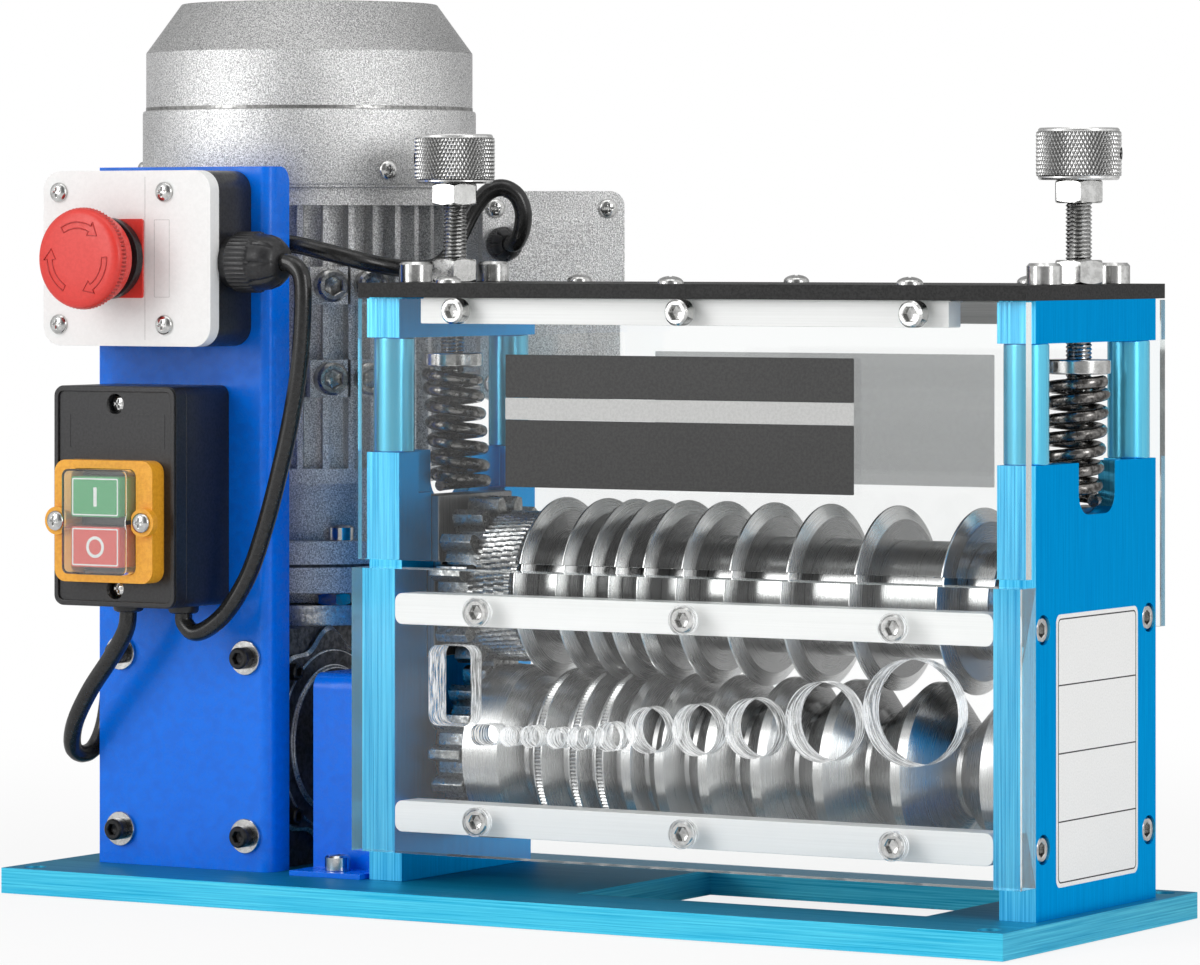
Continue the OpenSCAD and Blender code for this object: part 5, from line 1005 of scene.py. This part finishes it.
CABLE_R = 3.5
for name, r, length, place in (("estop_gland", 12.0, 24.0, at(-128, -57, 249.5, RIGHT)),
                               ("terminal_gland", 7.0, 16.0, at(-81.91, 67.92, 256.5, (90, 0, 45)))):
    rows = gland_rows(r, length, CABLE_R + 0.05)
    piece(name, solid(turned(rows, 4 * GLAND_RIBS, loop=True), place, smooth=32), "cable_glands",
          [black_moulding])
grommet = turned([(CABLE_R + 0.05, 0), (4.6, 0), (5.6, 0.5), (6, 1.4), (6, 3), (CABLE_R + 0.05, 3)], 40,
                 loop=True)
grommets = joined([moved(grommet, at(x, y, 111.7)) for x, y in ((-149, -60), (-174, -62))])
piece("grommets", solid(grommets), "cable_glands", [black_moulding])
lead_black = finish("lead_black", grains, 0.010, 0.020, 0.16, 0.26, bump=0.03, scale=500)
CONTROL_ROUTE = [(-112, -57, 249.5), (-103, -57, 249.5), (-98, -57, 247.5), (-95, -57, 242),
                 (-95, -57, 226), (-97, -57, 206), (-101, -57, 186), (-106, -57.5, 166), (-112, -58, 146),
                 (-119, -58.5, 128), (-128, -59.5, 114), (-137, -60, 106.5), (-144, -60, 104.5),
                 (-148.5, -60, 108), (-149, -60, 112), (-149, -60, 117)]
MOTOR_ROUTE = [(-174, -62, 117), (-174, -62, 112), (-175.5, -62, 104), (-183, -61.5, 93), (-194, -60, 80),
               (-203, -57.5, 67), (-208, -52.5, 57), (-209, -45, 53), (-208.5, -37, 55), (-208, -31, 64),
               (-207.5, -28, 80), (-207, -27, 100), (-206.5, -27, 120), (-206, -27, 140),
               (-205.5, -27, 160), (-204.5, -27, 180), (-202, -28, 200), (-197, -29, 219), (-187, -30, 236),
               (-172, -31, 248), (-156, -31, 254), (-139, -29, 257), (-122, -24.5, 256.5), (-106, -21, 253),
               (-95, -13, 249.5), (-88, -2, 247.2), (-84.5, 10, 246.5), (-83, 22, 248), (-82, 31, 253.5),
               (-80.5, 36, 261.5), (-77.5, 39.5, 270), (-73, 43, 277), (-68, 46.5, 279), (-63.5, 49.8, 276),
               (-61.5, 51.8, 269.5), (-62.5, 52.5, 262.5), (-66, 54, 257.5), (-70.5, 56.7, 256.5),
               (-76, 62, 256.5)]


def smooth_route(route, parts=6):
    """Points on a smooth curve through a row of points."""
    p = [Vector(q) for q in route]
    p = [2 * p[0] - p[1]] + p + [2 * p[-1] - p[-2]]
    made = []
    for a, b, c, d in zip(p, p[1:], p[2:], p[3:]):
        for k in range(parts):
            t = k / parts
            made.append(0.5 * (2 * b + (c - a) * t + (2 * a - 5 * b + 4 * c - d) * t * t
                               + (3 * b - a - 3 * c + d) * t ** 3))
    return made + [p[-2]]


for node, route in (("control_cable", CONTROL_ROUTE), ("motor_cable", MOTOR_ROUTE)):
    line = smooth_route(route)
    length = sum((b - a).length for a, b in zip(line, line[1:]))
    lead = piece(node + "_part", solid(swept(line, CABLE_R, 16), smooth=60), node, [lead_black])


# Fasteners
# Plated socket screws hold the frame, black ones the panel, and cross-head screws the lids.
# Hexagon nuts lock the adjusters and the motor flange.
def socket_screw(d, length, steps=48):
    """A cap screw with a hexagon socket, its head up from zero and its shank down."""
    r, key = (1.5 * d + 1) / 2, hexagon(0.84 * d)
    rows = [(0, -length), (d / 2, -length), (d / 2, 0), (r - 0.2, 0), (r, 0.2), (r, 0.86 * d),
            (r - 0.13 * d, d), (lambda a: key(a) + 0.05 * d, d), (key, 0.95 * d), (key, 0.45 * d),
            (0, 0.3 * d)]
    return solid(turned(rows, steps))


def cross_screw(d, length):
    """A domed screw with a cross cut into its head."""
    dome = [(d * math.cos(a), 0.08 * d + 0.52 * d * math.sin(a))
            for a in np.linspace(0, math.pi / 2, 9)[:-1]]
    rows = [(0, -length), (d / 2, -length), (d / 2, 0), (d, 0)] + dome + [(0, 0.6 * d)]
    model = bpy.data.objects.new("cross_screw", solid(turned(rows, 40), smooth=40))
    scene.collection.objects.link(model)
    cutters = []
    for turn in (0, 90):
        wedge = slab([(-0.62 * d, 0.8 * d), (-0.3 * d, 0.2 * d), (0.3 * d, 0.2 * d), (0.62 * d, 0.8 * d)],
                     0.22 * d)
        blade = solid(wedge, at(0, 0, 0, (0, 0, turn)) @ at(0, 0.11 * d, 0, FRONT))
        cutters.append(bpy.data.objects.new("cross", blade))
        scene.collection.objects.link(cutters[-1])
        cutting = model.modifiers.new("cross", "BOOLEAN")
        cutting.operation = "DIFFERENCE"
        cutting.object = cutters[-1]
    mesh = settled(model)
    for one in [model] + cutters:
        bpy.data.objects.remove(one)
    mesh.materials.clear()
    return mesh


def ways(points, turn):
    return [(p, turn) for p in points]


def round_motor(x, y, z, turn):
    """A place given from the motor's axis, turned about it."""
    a = math.radians(turn)
    return (MOTOR_X + x * math.cos(a) - y * math.sin(a), MOTOR_Y + x * math.sin(a) + y * math.cos(a), z)


OUTER_LEFT, OUTER_RIGHT, SINK_6, COVER_TOP = -72.5, 216.5, 6.5, 241.6
cap_6 = ways([(OUTER_LEFT + SINK_6, y, z) for y, z in TIE_YZ], LEFT)
cap_6 += ways([(OUTER_RIGHT - SINK_6, y, z) for y, z in TIE_YZ], RIGHT)
cap_6 += ways([(INNER_LEFT + x, -56.5 + SINK_6, z) for x in (41, 132, 221) for z in (36, 116)], FRONT)
for y, side in ((-52.0, FRONT), (64.0, REAR)):
    cap_6 += ways([(INNER_LEFT + x, y, RAIL_Z) for x in (31.3, 130.4, 229.4)], side)
cap_6 += ways([(-91.5, y, 12.0) for y in (-37.5, 49.5)], UP)
cap_6 += ways([(x, AXIS_Y + s * 35, SINK_6) for x in PLATES_X for s in (-1, 1)], DOWN)
cap_6 += ways([(MOTOR_X + s * 24.5, y, SINK_6) for s in (-1, 1) for y in (-28.6, 22.0)], DOWN)
cap_6 += [(round_motor(50.9, 0, 138, a), (0, 0, a)) for a in (-42, 48, 138, 228)]
repeated("cap_screws_6", socket_screw(6, 7.5), cap_6, "frame_fasteners", nickel)
cap_8 = ways([(x, AXIS_Y + s * 28.5, COVER_TOP) for x in PLATES_X for s in (-1, 1)], UP)
repeated("cap_screws_8", socket_screw(8, 18), cap_8, "frame_fasteners", nickel)
fixed_nuts = ways([(x, AXIS_Y, COVER_TOP) for x in PLATES_X], UP)
repeated("fixed_nuts", solid(nut(NUT_FLATS, 9.1, 5.1), smooth=28), fixed_nuts, "frame_fasteners", nickel)
pad_caps = [(round_motor(64, s * 8.3, z, -42), (0, 90, -42)) for s in (-1, 1) for z in (203, 240)]
repeated("pad_screws", socket_screw(8, 7.5), pad_caps, "frame_fasteners", gear_steel)
flange_nuts = [(round_motor(47, 0, 112, a), (0, 0, a)) for a in (45, 135, 225, 315)]
repeated("flange_nuts", solid(nut(13, 5.0, 3.0), smooth=28), flange_nuts, "frame_fasteners", nickel)
oxide = finish("oxide", grains, (0.010, 0.010, 0.011), (0.030, 0.030, 0.031), 0.24, 0.4, metal=0.5,
               bump=0.06)
cover_pans = ways([(INNER_LEFT + x, y, COVER_TOP) for x in (20.5, 119.5, 221.5) for y in RAILS_Y], (0, 0, 30))
repeated("cover_screws", cross_screw(5, 10), cover_pans, "frame_fasteners", nickel)
lid_pans = [((x, -72.0, z), FRONT) for x in (-200.3, -149.7) for z in (224.9, 276.9)]
lid_pans += [((SWITCH_X, -75.5, z), FRONT) for z in (121.7, 194.0)]
lid_pans += [((SWITCH_X + s * 20.35, -91.0, 148.4), FRONT) for s in (-1, 1)]
lid_pans += [(round_motor(65 + x, -36, 195.5 + z, 45), (90, 0, 45)) for x in (4.5, 51.5)
             for z in (4.5, 75.5)]
repeated("lid_screws", cross_screw(4, 3.5), lid_pans, "control_screws", nickel)
fan_pans = [(round_motor(67.9, 0, 286, a), (0, 90, a)) for a in (-29, 91, 211)]
repeated("fan_cover_screws", cross_screw(4, 2), fan_pans, "fan_cover", nickel, stands_for=False)
panel_places = [((MOTOR_X + s * 30, -43.6, 59 + t * 35), FRONT) for s in (-1, 1) for t in (-1, 1)]
washer = turned([(2.7, 0), (6.6, 0), (6.8, 0.2), (6.8, 1.4), (6.6, 1.6), (2.7, 1.6)], 48, loop=True)
repeated("panel_washers", solid(washer), panel_places, "panel_screws", nickel)
black_caps = [((x, y - 1.6, z), turn) for (x, y, z), turn in panel_places]
repeated("panel_bolts", socket_screw(5, 10), black_caps, "panel_screws", oxide)
face_caps = []
for s in (-1, 1):
    for a in (45, 135, 225, 315):
        y = AXIS_Y + LOBE_SCREW_R * math.cos(math.radians(a))
        z = FEED_Z + LOBE_SCREW_R * math.sin(math.radians(a))
        face_caps.append(((MOTOR_X + s * (GEARBOX_HALF + 2.0), y, z), (0, s * 90, 0)))
repeated("gearbox_face_screws", socket_screw(4, 3, 40), face_caps, "gearbox_covers", oxide,
         stands_for=False)
bpy.context.view_layer.update()
